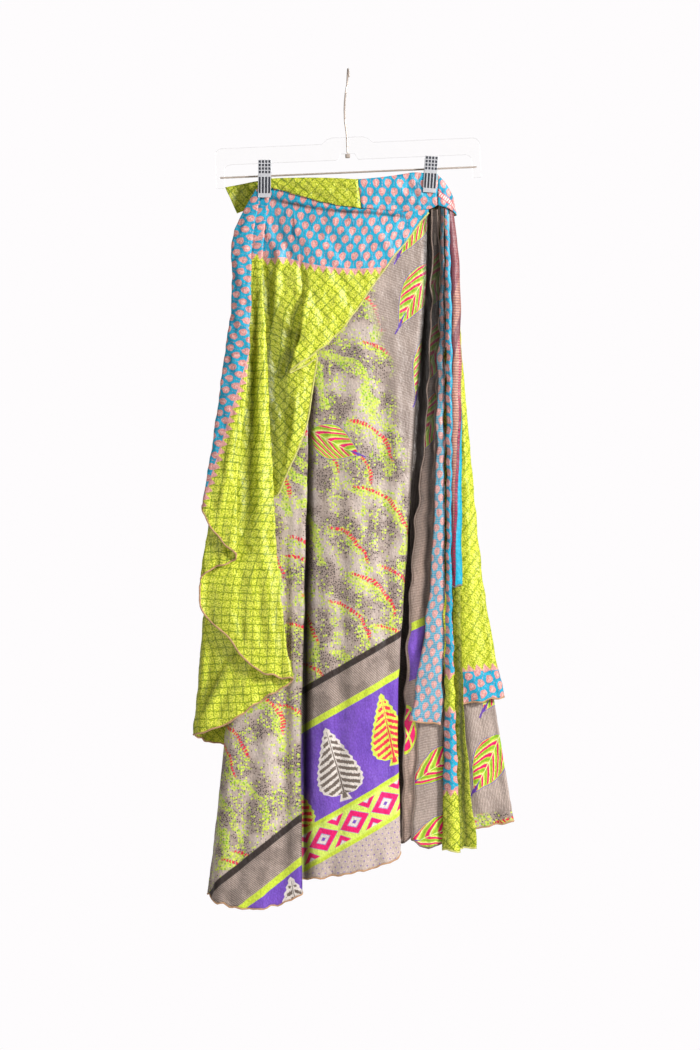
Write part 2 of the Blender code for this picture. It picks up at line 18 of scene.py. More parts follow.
import bmesh
import bpy
import numpy as np
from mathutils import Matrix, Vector

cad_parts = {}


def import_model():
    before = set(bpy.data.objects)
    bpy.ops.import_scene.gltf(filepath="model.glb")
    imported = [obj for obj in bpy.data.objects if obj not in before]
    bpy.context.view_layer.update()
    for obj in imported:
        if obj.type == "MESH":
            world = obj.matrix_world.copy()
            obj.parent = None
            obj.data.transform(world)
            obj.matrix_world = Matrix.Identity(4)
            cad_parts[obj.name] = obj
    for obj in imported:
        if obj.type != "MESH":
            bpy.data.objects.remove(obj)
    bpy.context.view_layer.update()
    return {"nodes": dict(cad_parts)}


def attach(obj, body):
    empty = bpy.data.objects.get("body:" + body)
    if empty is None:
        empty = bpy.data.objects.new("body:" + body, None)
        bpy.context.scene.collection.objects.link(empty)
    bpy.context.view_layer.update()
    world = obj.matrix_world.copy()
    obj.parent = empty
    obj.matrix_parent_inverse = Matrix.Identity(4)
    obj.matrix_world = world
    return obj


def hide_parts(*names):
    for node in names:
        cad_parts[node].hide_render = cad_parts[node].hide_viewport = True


MM = 0.001
LOG = logging.getLogger("wrap_skirt")


def srgb(code: str) -> tuple[float, ...]:
    """Linear colour of a hexadecimal sRGB code.

    Args:
        code: Six hexadecimal digits.

    Returns:
        Red, green, blue and full alpha, each from 0 to 1.
    """
    parts = [int(code[i:i + 2], 16) / 255 for i in (0, 2, 4)]
    linear = [c / 12.92 if c <= 0.04045 else ((c + 0.055) / 1.055) ** 2.4 for c in parts]
    return (*linear, 1.0)


# ------------------------------------------------------------------ arithmetic in nodes

def feed(tree: bpy.types.NodeTree, node: bpy.types.Node, **parts: object) -> bpy.types.Node:
    """Set a node and feed its inputs.

    Args:
        tree: The node's tree.
        node: The node.
        parts: Its settings, which start with a small letter, then its inputs by name with an
            underscore for a blank, each a value or what it is linked to.

    Returns:
        The node.
    """
    for name, value in parts.items():
        if name[0].islower():
            setattr(node, name, value)
            continue
        socket = node.inputs[name.replace("_", " ")]
        source = value.socket if isinstance(value, Term) else value
        if isinstance(source, bpy.types.NodeSocket):
            tree.links.new(source, socket)
        else:
            socket.default_value = source
    return node


def add(tree: bpy.types.NodeTree, kind: str, **parts: object) -> bpy.types.Node:
    """Add a node of a kind, set and fed as in `feed`."""
    return feed(tree, tree.nodes.new("ShaderNode" + kind), **parts)


class Term:
    """A number that a material's nodes work out, written as plain arithmetic."""

    def __init__(self, tree: bpy.types.NodeTree, socket: bpy.types.NodeSocket) -> None:
        """Keep the node tree and the socket that carries the number."""
        self.tree, self.socket = tree, socket

    def math(self, operation: str, *others: Term | float) -> Term:
        """Apply one Math node.

        Args:
            operation: The node's operation.
            others: Its further inputs.

        Returns:
            The node's result.
        """
        node = add(self.tree, "Math", operation=operation)
        for socket, value in zip(node.inputs, (self, *others)):
            if isinstance(value, Term):
                self.tree.links.new(value.socket, socket)
            else:
                socket.default_value = value
        return Term(self.tree, node.outputs[0])

    def __add__(self, other: Term | float) -> Term:
        """Sum."""
        return self.math("ADD", other)

    def __sub__(self, other: Term | float) -> Term:
        """Difference."""
        return self.math("SUBTRACT", other)

    def __mul__(self, other: Term | float) -> Term:
        """Product."""
        return self.math("MULTIPLY", other)

    def __truediv__(self, other: Term | float) -> Term:
        """Quotient."""
        return self.math("DIVIDE", other)

    def __abs__(self) -> Term:
        """Size without sign."""
        return self.math("ABSOLUTE")

    def flip(self) -> Term:
        """One less this number."""
        return self * -1 + 1

    def part(self) -> Term:
        """What is left above the whole number."""
        return self.math("FRACT")

    def whole(self) -> Term:
        """The whole number below."""
        return self.math("FLOOR")

    def saw(self, pitch: float = 1.0) -> Term:
        """Distance from the middle of each repeat, as a share of the pitch."""
        return abs((self / pitch).part() - 0.5)

    def least(self, other: Term | float) -> Term:
        """The smaller of two."""
        return self.math("MINIMUM", other)

    def most(self, other: Term | float) -> Term:
        """The larger of two."""
        return self.math("MAXIMUM", other)

    def power(self, exponent: float) -> Term:
        """This number raised to a power."""
        return self.math("POWER", exponent)

    def angle(self, base: Term | float) -> Term:
        """The angle in radians whose tangent is this number over the base."""
        return self.math("ARCTAN2", base)

    def above(self, edge: float, soft: float) -> Term:
        """A smooth step from 0 below the edge to 1 above it.

        Args:
            edge: Where the step lies.
            soft: Half the step's width.

        Returns:
            The step.
        """
        node = add(self.tree, "MapRange", interpolation_type="SMOOTHSTEP", Value=self,
                   From_Min=edge - soft, From_Max=edge + soft)
        return Term(self.tree, node.outputs["Result"])

    def below(self, edge: float, soft: float) -> Term:
        """A smooth step from 1 below the edge to 0 above it."""
        return self.above(edge, soft).flip()

    def between(self, low: float, high: float, soft: float) -> Term:
        """One from low to high, and nothing outside."""
        return abs(self - (low + high) / 2).below((high - low) / 2, soft)


class Cloth:
    """The nodes of one silk: flat-cloth coordinates and a colour laid up in coats."""

    def __init__(self, name: str, code: str) -> None:
        """Start a material.

        Args:
            name: The material's name.
            code: The ground colour.
        """
        self.material, self.tree, self.shader = material(name)
        uv = self.add("UVMap", uv_map="flat_cloth")
        self.flat = self.add("VectorMath", operation="SCALE", Vector=uv.outputs["UV"],
                             Scale=1 / MM).outputs[0]
        split = self.add("SeparateXYZ", Vector=self.flat)
        self.across, self.drop = (Term(self.tree, split.outputs[axis]) for axis in "XY")
        self.colour = self.plain(code)

    def add(self, kind: str, **parts: object) -> bpy.types.Node:
        """Add a node, as `add` does."""
        return add(self.tree, kind, **parts)

    def plain(self, code: str) -> bpy.types.NodeSocket:
        """A ground of one colour.

        Args:
            code: The colour.

        Returns:
            The socket that carries it.
        """
        ground = self.add("RGB").outputs[0]
        ground.default_value = srgb(code)
        return ground

    def noise(self, size: float, detail: float = 2, stretch: tuple[float, float] = (1, 1),
              shift: float = 0) -> Term:
        """Soft noise over the flat cloth.

        Args:
            size: Size of its patches in millimetres.
            detail: Octaves.
            stretch: How much longer the patches are across and along.
            shift: Moves the noise, so that two of them differ.

        Returns:
            The noise, about 0 to 1.
        """
        place = self.add("Mapping", Scale=(1 / (size * stretch[0]), 1 / (size * stretch[1]), 1),
                         Location=(shift, shift * 0.7, 0), Vector=self.flat)
        node = self.add("TexNoise", noise_dimensions="2D", Scale=1, Detail=detail,
                        Vector=place.outputs[0])
        return Term(self.tree, node.outputs["Fac"])

    def spots(self, pitch: float, shift: float = 0) -> tuple[Term, Term]:
        """Scattered spots, one to a cell of about the pitch.

        Args:
            pitch: Mean distance between spots in millimetres.
            shift: Moves the spots, so that two sets differ.

        Returns:
            Distance from the nearest spot in millimetres, and that spot's own random number.
        """
        place = self.add("Mapping", Scale=(1 / pitch, 1 / pitch, 1), Location=(shift, shift, 0),
                         Vector=self.flat)
        node = self.add("TexVoronoi", voronoi_dimensions="2D", Scale=1, Vector=place.outputs[0])
        split = self.add("SeparateColor", Color=node.outputs["Color"])
        return Term(self.tree, node.outputs["Distance"]) * pitch, Term(self.tree, split.outputs[0])

    def luck(self, column: Term, row: Term, seed: float) -> Term:
        """Chance for the cells of a grid.

        Args:
            column: The cell's column.
            row: Its row.
            seed: Tells several numbers of one cell apart.

        Returns:
            A random number from 0 to 1 for each cell.
        """
        join = self.add("CombineXYZ", X=column, Y=row, Z=seed)
        node = self.add("TexWhiteNoise", noise_dimensions="3D", Vector=join.outputs[0])
        return Term(self.tree, node.outputs["Value"])

    def lay(self, mask: Term, coat: Ink | bpy.types.NodeSocket) -> None:
        """Lay a colour over what is there.

        Args:
            mask: How much of it shows.
            coat: The colour.
        """
        node = self.add("Mix", data_type="RGBA", Factor=mask, A=self.colour,
                        B=srgb(coat.value) if isinstance(coat, Ink) else coat)
        self.colour = node.outputs["Result"]

    @contextmanager
    def only(self, mask: Term, ground: Ink | bpy.types.NodeSocket | None = None) -> Iterator[None]:
        """Let what is laid inside the with block show only where the mask says.

        Args:
            mask: Where it shows.
            ground: What it is laid on, where that isn't the colour so far.

        Yields:
            Nothing.
        """
        under = self.colour
        if ground is not None:
            self.colour = self.plain(ground.value) if isinstance(ground, Ink) else ground
        yield
        over, self.colour = self.colour, under
        self.lay(mask, over)

    def tone(self, strength: Term) -> None:
        """Make the colour lighter or darker by a factor."""
        self.colour = self.add("HueSaturation", Color=self.colour, Value=strength).outputs["Color"]

    def turned(self, angle: float, across: float = 0, drop: float = 0) -> tuple[Term, Term]:
        """Coordinates turned about a place on the cloth.

        Args:
            angle: Degrees, positive from across towards the drop.
            across: The place turned about.
            drop: The place turned about.

        Returns:
            The distances along and across the turned direction.
        """
        c, s = math.cos(math.radians(angle)), math.sin(math.radians(angle))
        u, v = self.across - across, self.drop - drop
        return u * c + v * s, v * c - u * s


def material(name: str) -> tuple[bpy.types.Material, bpy.types.NodeTree, bpy.types.Node]:
    """Start a material.

    Args:
        name: Its name.

    Returns:
        The material, its node tree and its shader.
    """
    made = bpy.data.materials.new(name)
    made.use_nodes = True
    return made, made.node_tree, made.node_tree.nodes["Principled BSDF"]


# ------------------------------------------------------------------ the prints' motifs

class Ink(Enum):
    """The print's colours."""

    BLUE = "12A8CA"
    BLUE_DEEP = "067CA2"
    BLUE_PALE = "69C9DA"
    PINK = "DC958E"
    PINK_PALE = "EEBDB4"
    ROSE = "C2666E"
    GREEN = "C8CE1A"
    GREEN_PALE = "E8EA56"
    GREEN_LINE = "768C0A"
    GREEN_DEEP = "8CA40A"
    TAUPE = "C2AEA2"
    TAUPE_CLOUD = "7A6A62"
    PEARL = "DCD2CA"
    BROWN = "362A26"
    LIME = "CCDE3E"
    LIME_BRIGHT = "D4E650"
    LIME_SOFT = "D8EC66"
    LIME_PALE = "E9F39B"
    LEAF_GREEN = "90BE28"
    RED = "E8304A"
    MAGENTA = "F0146E"
    PURPLE = "7C52BE"
    LAVENDER = "9C90C8"
    PURPLE_DEEP = "6A44B0"
    CREAM = "E6DBD2"
    RIB = "74665C"
    MAUVE = "A0605E"
    LIT_PEACH = "C8947E"
    PLUM = "6E3A48"
    CRIMSON = "B01848"
    UMBER = "BA9E8E"


NET_PITCH = 10.4
TOOTH_PITCH, TOOTH_HEIGHT = 10.7, 9.0
PIN_PITCH = 2.1
SPRAY_WIDE, SPRAY_HIGH = 118.0, 104.0
DIAMOND_PITCH, DIAMOND_BAND = 47.6, 25.3


def lay_lattice(cloth: Cloth, u: Term, v: Term, ink: float) -> None:
    """Hand-drawn net of dark lines round brushed cells, each with its own arc near the top.

    Args:
        cloth: The silk's nodes.
        u: Distance across the net.
        v: Distance along the net.
        ink: How dark its lines are.
    """
    wobble, waver = ((cloth.noise(7, 1, shift=shift) - 0.5) * 2.8 for shift in (0, 31))
    x = ((u + wobble) / NET_PITCH).part() - 0.5
    y = ((v + waver) / NET_PITCH).part() - 0.5
    near = abs(x).least(abs(y)) * NET_PITCH
    brush = cloth.noise(2, 2, shift=7)
    broad = cloth.noise(60, 2, shift=47)
    bow = abs(y + 0.12 + x * x * -0.9) * NET_PITCH
    cloth.lay((brush + abs(y) * 0.22).above(0.56, 0.12) * 0.95, Ink.GREEN_PALE)
    cloth.lay((bow + brush * 1.6).below(1.35, 0.5) * 0.55, Ink.GREEN_DEEP)
    cloth.lay(brush.below(0.42, 0.1) * 0.75, Ink.GREEN_DEEP)
    line = (near + brush * 1.3 + broad * 0.5).below(1.5, 0.4)
    cloth.lay(line * (broad * -0.5 + 1.1) * ink, Ink.GREEN_LINE)


def lay_drops(cloth: Cloth, u: Term, v: Term, side: float = 16, rise: float = 11.4,
              length: float = 11.6, girth: float = 10.6) -> None:
    """Staggered rows of veined pink drops, tips towards greater v.

    Args:
        cloth: The silk's nodes.
        u: Distance along the rows.
        v: Distance across the rows.
        side: Pitch along a row.
        rise: Distance from row to row.
        length: Length of a drop.
        girth: Its width over 0.77.
    """
    wobble = (cloth.noise(5, 1, shift=3) - 0.5) * 1.8
    brush = cloth.noise(1.7, 2, shift=11)
    cloth.lay(cloth.noise(14, 2, shift=5).above(0.54, 0.1) * 0.55, Ink.BLUE_DEEP)
    cloth.lay(brush.above(0.62, 0.08) * 0.2, Ink.BLUE_PALE)
    for slide, lift in ((0, 0), (side / 2, rise)):
        a = (u + wobble + slide).saw(side) * side
        t = (((v + wobble + lift) / (2 * rise)).part() * (2 * rise / length)).flip()
        half = t.most(0).power(0.8) * t.flip().most(0).power(0.5) * girth
        edge = half - a + (brush - 0.5) * 1.5
        cloth.lay(edge.above(-0.55, 0.4) * 0.35, Ink.BLUE_DEEP)
        cloth.lay(edge.above(0, 0.35), Ink.PINK)
        cloth.lay((edge * brush).above(1.5, 0.5) * 0.8, Ink.PINK_PALE)
        cloth.lay(edge.above(1, 0.3) * brush.below(0.42, 0.07) * 0.6, Ink.ROSE)


def lay_teeth(cloth: Cloth, along: Term, deep: Term) -> None:
    """A row of pink teeth on a narrow pink line.

    Args:
        cloth: The silk's nodes.
        along: Distance along the row.
        deep: Distance from the row's base towards the tips.
    """
    reach = along.saw(TOOTH_PITCH) * 2 * TOOTH_HEIGHT - deep
    brush = cloth.noise(1.7, 2, shift=23)
    cover = (reach + (brush - 0.5) * 1.4).above(0.6, 0.5) * deep.above(-1.2, 0.3)
    cloth.lay(cover, Ink.PINK)
    cloth.lay(cover * brush.above(0.52, 0.1) * 0.6, Ink.PINK_PALE)


def lay_pinstripe(cloth: Cloth, tilt: float) -> None:
    """Fine uneven lines woven into the taupe ground.

    Args:
        cloth: The silk's nodes.
        tilt: The lines' slant in degrees.
    """
    over = cloth.turned(tilt)[1]
    drift = cloth.noise(38, 2, shift=83)
    line = (over + drift * 3).saw(PIN_PITCH)
    cloth.lay(drift.above(0.5, 0.14) * 0.3, Ink.TAUPE_CLOUD)
    cloth.lay(line.below(0.2, 0.1) * 0.6, Ink.TAUPE_CLOUD)
    cloth.lay(line.above(0.42, 0.06) * 0.3, Ink.CREAM)


def lay_stipple(cloth: Cloth) -> None:
    """Dark clouds, sprays of lime dots and curved strings of red beads.

    Args:
        cloth: The silk's nodes.
    """
    cloud = cloth.noise(46, 2, shift=13)
    bank = cloth.noise(30, 1, shift=29)
    fine = cloth.noise(5, 1, shift=37)
    spray = bank.above(0.6, 0.08) * 0.3
    beads = spray * 0
    for seed, shift, fall in ((1, 0, 0), (2, 57, 51), (5, 30, 80)):
        u = (cloth.across + shift) / SPRAY_WIDE
        v = (cloth.drop + fall) / SPRAY_HIGH + u.whole() * 0.37
        lot, other = (cloth.luck(u.whole(), v.whole(), number) for number in (seed, seed + 7))
        dx = u.part() * SPRAY_WIDE - lot * 40 - 4 + (bank - 0.5) * 16
        dy = v.part() * SPRAY_HIGH - 97 + other * 10
        reach = other * 26 + 50
        ring = (dx * dx + dy * dy).power(0.5) - reach
        swing = (dy * -1).angle(dx)
        inside = dx.above(5, 4) * dy.between(-90, -9, 4)
        bead = (swing * (reach / 4.4) + fine * 0.9).saw().below(0.31, 0.1)
        slack = abs(ring + (fine - 0.5) * 3.6) - (swing - 0.75) * (swing - 0.75) * -1.6
        beads = beads.most(slack.below(2.5, 0.35) * bead * inside * lot.above(0.34, 0.01))
        wind = ring + (bank - 0.5) * 12
        leafage = wind.between(-12, 1, 3) * (wind * 0.03 + 0.86) * dx.above(-2, 6)
        stalk = abs(dx - 16 + (fine - 0.5) * 7).below(2.6, 2.4) * dy.above(-60, 9)
        spray = spray.most(leafage * (other * 0.6 + 0.65)).most(stalk * 0.5)
    spray = spray * (bank * 0.4 + 0.8)
    dusk = cloud.above(0.5, 0.14) * (spray * 0.7).flip()
    cloth.lay(dusk * 0.55, Ink.TAUPE_CLOUD)
    cloth.lay(cloud.below(0.42, 0.12) * 0.3, Ink.PEARL)
    cloth.lay(spray.above(0.66, 0.24) * 0.5, Ink.LIME)
    far, pick = cloth.spots(2.7, 5)
    cloth.lay(far.below(0.8, 0.22) * (pick - dusk * 0.8).below(0.05, 0.1) * 0.95, Ink.BROWN)
    near, chance = cloth.spots(3.5, 17)
    cloth.lay(near.below(1.4, 0.25) * (chance - spray).below(0.12, 0.05), Ink.LIME_BRIGHT)
    wet, luck = cloth.spots(4.1, 43)
    cloth.lay(wet.below(1.3, 0.3) * (luck - spray * 0.5).below(-0.06, 0.05), Ink.LEAF_GREEN)
    cloth.lay(beads, Ink.RED)


def lay_leaf(cloth: Cloth, across: float, drop: float, angle: float, length: float = 98,
             veer: float = 1, width: float = 40) -> None:
    """One pointed leaf striped in lime, green and magenta on both sides of its rib.

    Args:
        cloth: The silk's nodes.
        across: Its middle.
        drop: Its middle.
        angle: Direction from tip to stem in degrees.
        length: From tip to stem.
        veer: How far its veins run back from the rib, minus where they run forwards.
        width: Across the blade.
    """
    x, y = cloth.turned(angle, across, drop)
    t = x / length + 0.5
    within = t.between(-0.09, 1, 0.004)
    t = t.most(0).least(1)
    side = abs(y + (t * t.flip()) * 7 + (cloth.noise(16, 1) - 0.5) * 2)
    edge = t.power(1.35) * t.flip().power(0.95) * (width * 2.36) - side
    rim, inside = (edge.above(low, soft) * within for low, soft in ((-1, 0.25), (0, 0.35)))
    steep = (y * (1 if angle > 0 else -1)).below(0, 2)
    slant = t * length + (side * (steep * 0.9 + 0.9) + side * side * 0.07) * veer
    stripe = (slant / 18.5).part()
    cloth.lay(rim, Ink.PURPLE)
    cloth.lay(inside, Ink.LIME)
    for cover, ink in ((stripe.between(0.08, 0.36, 0.04), Ink.LEAF_GREEN),
                       (stripe.between(0.44, 0.78, 0.03), Ink.MAGENTA),
                       (stripe.between(0.82, 0.93, 0.03), Ink.LIME_PALE),
                       (side.below(0.5, 0.3), Ink.LIME_PALE), (edge.below(0.9, 0.3), Ink.LIME),
                       ((side + t * 9).below(2.3, 0.3), Ink.PURPLE_DEEP)):
        cloth.lay(inside * cover, ink)
    cloth.lay(rim * t.below(0.05, 0.02), Ink.PURPLE_DEEP)


def lay_fern(cloth: Cloth, across: float, drop: float, angle: float, rim: Ink, web: Ink,
             length: float = 100, width: float = 62) -> None:
    """One broad leaf with a scalloped rim, ragged ribs and a flared foot.

    Args:
        cloth: The silk's nodes.
        across: Its middle.
        drop: Its middle.
        angle: Direction from tip to stem in degrees.
        rim: Colour of rim and ribs.
        web: Colour between the ribs.
        length: From tip to stem.
        width: Across the blade.
    """
    x, y = cloth.turned(angle, across, drop)
    t = x / length + 0.5
    within = t.between(0, 1, 0.004)
    blade = (t / 0.93).most(0).least(1)
    side = abs(y)
    notch = (blade - 0.84).most(0) * (side * -0.34 + 4).most(0) * 22
    half = blade.power(0.86) * blade.power(7).flip().power(0.55) * (width * 0.68)
    ragged = cloth.noise(2.2, 1, shift=41)
    edge = half - side - (t * length - side * 0.2).saw(7.6) * 4.4 - notch
    flare = (t - 0.8) * (width * 0.72)
    foot = t.between(0.86, 1, 0.01) * (flare - side).above(0, 0.4)
    cloth.lay((edge.above(-1.4, 0.4) * within).most(foot), rim)
    lift = side * 0.55 - side * side * 0.005
    slot = ((t * length - lift) / 8.6 + ragged * 0.34).part()
    inner = edge.above(1.8, 0.4) * (side + ragged * 1.6).above(2.4, 0.3) * t.above(0.12, 0.01)
    cloth.lay(inner * slot.between(0.12, 0.66, 0.05) * within, web)
    cloth.lay((side - t * 1.2).below(0.2, 0.3) * t.between(0.06, 0.97, 0.01), web)
    cloth.lay(t.between(0.9, 0.965, 0.006) * (flare * 0.55 - side).above(0, 0.3), web)


def lay_diamonds(cloth: Cloth, along: Term, middle: Term) -> None:
    """A lime band with a row of magenta diamonds and the halves of others beside it.

    Args:
        cloth: The silk's nodes.
        along: Distance along the band.
        middle: Distance from its middle line.
    """
    cloth.lay(abs(middle).below(DIAMOND_BAND, 0.4), Ink.LIME)
    cloth.lay(abs(middle).below(DIAMOND_BAND - 5, 1.5), Ink.LIME_SOFT)
    skew = (along + middle * 0.198) / DIAMOND_PITCH
    rows = abs(middle / 0.98)
    whole = skew.saw() * (DIAMOND_PITCH / 21.5) + rows / 16
    other = (skew + 0.5).saw() * (DIAMOND_PITCH / 12.6) + abs(rows - 18) / 11.4
    cut = rows.below(18, 0.2)
    for rhomb, core in ((whole, 0.45), (other, 0.36)):
        for size, ink in ((1.05, Ink.LAVENDER), (1, Ink.MAGENTA), (core + 0.07, Ink.LAVENDER),
                          (core, Ink.CREAM)):
            cloth.lay(rhomb.below(size, 0.02) * cut, ink)
    cloth.lay(whole.below(0.17, 0.03), Ink.PURPLE)


# ------------------------------------------------------------------ finishes

CREPE_STRENGTH, CREPE_RELIEF = 0.75, 0.0016     # bump of the silk, in metres
CORD_STRENGTH, CORD_RELIEF = 0.8, 0.0004        # bump of the thread
SCRATCH = 0.0006                                # size of the metal's scratches in metres
SCRATCH_TONE = 0.72                             # how dark they are
CLEAR_TINT = (0.75, 0.7, 0.66, 1)


@dataclass(frozen=True)
class Silk:
    """Printed satin silk.  Each kind lays its own print in `decorate`."""

    name: str
    slot: str
    ground: Ink = Ink.TAUPE
    roughness: float = 0.42
    fade: float = 1.0
    # strength of the flecks laid into the colour: partly woven grain, partly painted glints of light
    grain_and_glint: float = 0.62

    def decorate(self, cloth: Cloth) -> None:
        """Lay the print on the ground colour."""
        raise NotImplementedError

    def make(self) -> bpy.types.Material:
        """Build the material.

        Returns:
            The finished material.
        """
        cloth = Cloth(self.name, self.ground.value)
        self.decorate(cloth)
        fleck = cloth.noise(2, 2, stretch=(1, 1.5), shift=19)
        patch = cloth.noise(34, 2, shift=89)
        # Flecks lighten and darken the colour, partly woven grain and partly painted glints of light.
        cloth.tone((fleck - 0.5) * self.grain_and_glint + (patch - 0.5) * 0.3 + self.fade)
        # Painted shade and painted light from the sheet's tone attribute, multiplied into the colour.
        painted_light_and_shade = cloth.add("Attribute", attribute_name="tone")
        cloth.tone(Term(cloth.tree, painted_light_and_shade.outputs["Fac"]))
        crinkle = cloth.noise(8, 3, stretch=(1, 1.7), shift=53)
        fine = cloth.noise(3.2, 2, stretch=(1, 1.4), shift=59)
        bump = cloth.add("Bump", Strength=CREPE_STRENGTH, Distance=CREPE_RELIEF,
                         Height=crinkle + fine * 0.36 + fleck * 0.2)
        feed(cloth.tree, cloth.shader, Base_Color=cloth.colour, Normal=bump.outputs[0],
             Roughness=(fleck - 0.5) * 0.25 + self.roughness, Specular_IOR_Level=0.42,
             Sheen_Weight=0.06, Sheen_Roughness=0.4)
        return cloth.material


@dataclass(frozen=True)
class LatticeSilk(Silk):
    """Green silk with the net, turned by an angle."""

    ground: Ink = Ink.GREEN
    tilt: float = 45.0
    ink: float = 1.0

    def decorate(self, cloth: Cloth) -> None:
        """Lay the net."""
        lay_lattice(cloth, *cloth.turned(self.tilt), ink=self.ink)


@dataclass(frozen=True)
class DropSilk(Silk):
    """Blue silk with pink drops, turned by an angle, with one narrow braid if it has a place."""

    ground: Ink = Ink.BLUE
    tilt: float = 0.0
    side: float = 16.0
    rise: float = 11.4
    length: float = 11.6
    wash: float = 0.0
    braid: float | None = None

    def decorate(self, cloth: Cloth) -> None:
        """Lay the drops, the braid and the pale wash of a reverse side."""
        u, v = cloth.turned(self.tilt)
        lay_drops(cloth, u, v, self.side, self.rise, self.length, self.side * 0.66)
        if self.braid is not None:
            along, level = cloth.turned(38)
            level = abs(level - self.braid)
            cloth.lay(level.below(3.4, 0.3), Ink.RED)
            cloth.lay(level.below(2.5, 0.3) * along.saw(3.2).above(0.16, 0.06), Ink.CREAM)
        if self.wash:
            cloth.lay(cloth.drop.saw(2.4).above(0.2, 0.1) * self.wash, Ink.PEARL)


@dataclass(frozen=True)
class WaistBorderSilk(LatticeSilk):
    """Green silk whose top is the blue border, with a toothed edge that dips midway."""

    lowest: float = 269.0
    centre: float = 10.0
    dip: float = 0.00186
    most_dip: float = 15.0

    def decorate(self, cloth: Cloth) -> None:
        """Lay the net, then the border over its top."""
        super().decorate(cloth)
        off = cloth.across - self.centre
        deep = cloth.drop + (off * off * self.dip).least(self.most_dip) - self.lowest
        with cloth.only(deep.below(0, 0.4), Ink.BLUE):
            lay_drops(cloth, cloth.across + cloth.drop * 0.18, deep)
        lay_teeth(cloth, cloth.across, deep)


@dataclass(frozen=True)
class SideBorderSilk(LatticeSilk):
    """Green silk with an upright blue border on the left of a slanting line and above `cap`."""

    tilt: float = 2.0
    start: float = 459.0
    slant: float = 0.22
    cap: float = 247.0

    def decorate(self, cloth: Cloth) -> None:
        """Lay the upright net, then the border."""
        super().decorate(cloth)
        lean = self.slant / math.hypot(1, self.slant)
        deep = cloth.across * math.sqrt(1 - lean * lean) + (cloth.drop - self.start) * lean
        along = cloth.drop - cloth.across * lean
        lay_teeth(cloth, cloth.across, cloth.drop - self.cap)
        with cloth.only(deep.below(0, 0.4).most(cloth.drop.below(self.cap, 0.4)), Ink.BLUE):
            lay_drops(cloth, along, deep * -1)
        lay_teeth(cloth, along, deep)


@dataclass(frozen=True)
class HemBorderSilk(LatticeSilk):
    """Green silk with blue border bands between given drops, teeth above and below each.

    The bands start `beyond` a place across.
    """

    bands: tuple[tuple[float, float], ...] = ()
    beyond: float = -5000.0

    def decorate(self, cloth: Cloth) -> None:
        """Lay the net, then each band of border."""
        super().decorate(cloth)
        with cloth.only(cloth.across.above(self.beyond, 0.4)):
            for top, foot in self.bands:
                with cloth.only(cloth.drop.between(top, foot, 0.4), Ink.BLUE):
                    lay_drops(cloth, *cloth.turned(-35))
                lay_teeth(cloth, cloth.across, cloth.drop * -1 + top)
                lay_teeth(cloth, cloth.across, cloth.drop - foot)


@dataclass(frozen=True)
class StippleSilk(Silk):
    """Taupe silk with the stippled field, and beyond a line only fine stripes down to `foot`.

    It may carry striped leaves, each given as `lay_leaf` takes it.
    """

    leaves: tuple[tuple[float, ...], ...] = ()
    foot: float = 10000.0
    bare: float = -10000.0
    bare_lean: float = 0.28
    pin_tilt: float = -14.0

    def decorate(self, cloth: Cloth) -> None:
        """Lay the striped part, the field up to `bare`, then the leaves."""
        lay_pinstripe(cloth, self.pin_tilt)
        wander = (cloth.noise(40, 2, shift=61) - 0.5) * 46
        here = (cloth.across + wander - cloth.drop * self.bare_lean).below(self.bare, 9)
        here = here.most((cloth.drop + wander * 0.2).above(self.foot, 3))
        with cloth.only(here, self.ground):
            lay_stipple(cloth)
        for leaf in self.leaves:
            lay_leaf(cloth, *leaf)


@dataclass(frozen=True)
class PleatSilk(StippleSilk):
    """Plain striped silk with a lime and purple band and one round motif below it."""

    band: float = 735.0
    purple: float = 67.0
    disc: tuple[float, float] = (-11.0, 882.0)

    def decorate(self, cloth: Cloth) -> None:
        """Lay the stripes, the band and the disc."""
        super().decorate(cloth)
        right = cloth.across.above(-9, 0.6)
        level = cloth.drop + cloth.across * 0.5 - self.band
        cloth.lay(level.between(0, 11, 0.4) * right, Ink.LIME)
        cloth.lay(level.between(11, 11 + self.purple, 0.4) * right, Ink.PURPLE)
        x, y = (cloth.across - self.disc[0]) * 2.2, cloth.drop - self.disc[1]
        far = (x * x + y * y).power(0.5)
        cloth.lay(far.below(33, 0.5), Ink.LIME)
        cloth.lay(far.below(28.5, 0.5), Ink.MAGENTA)
        cross = abs(abs((x + y) * 0.7) - 11).least(abs((x - y) * 0.7))
        cloth.lay(cross.below(2.2, 0.4) * far.below(28.5, 0.5), Ink.LIME_SOFT)


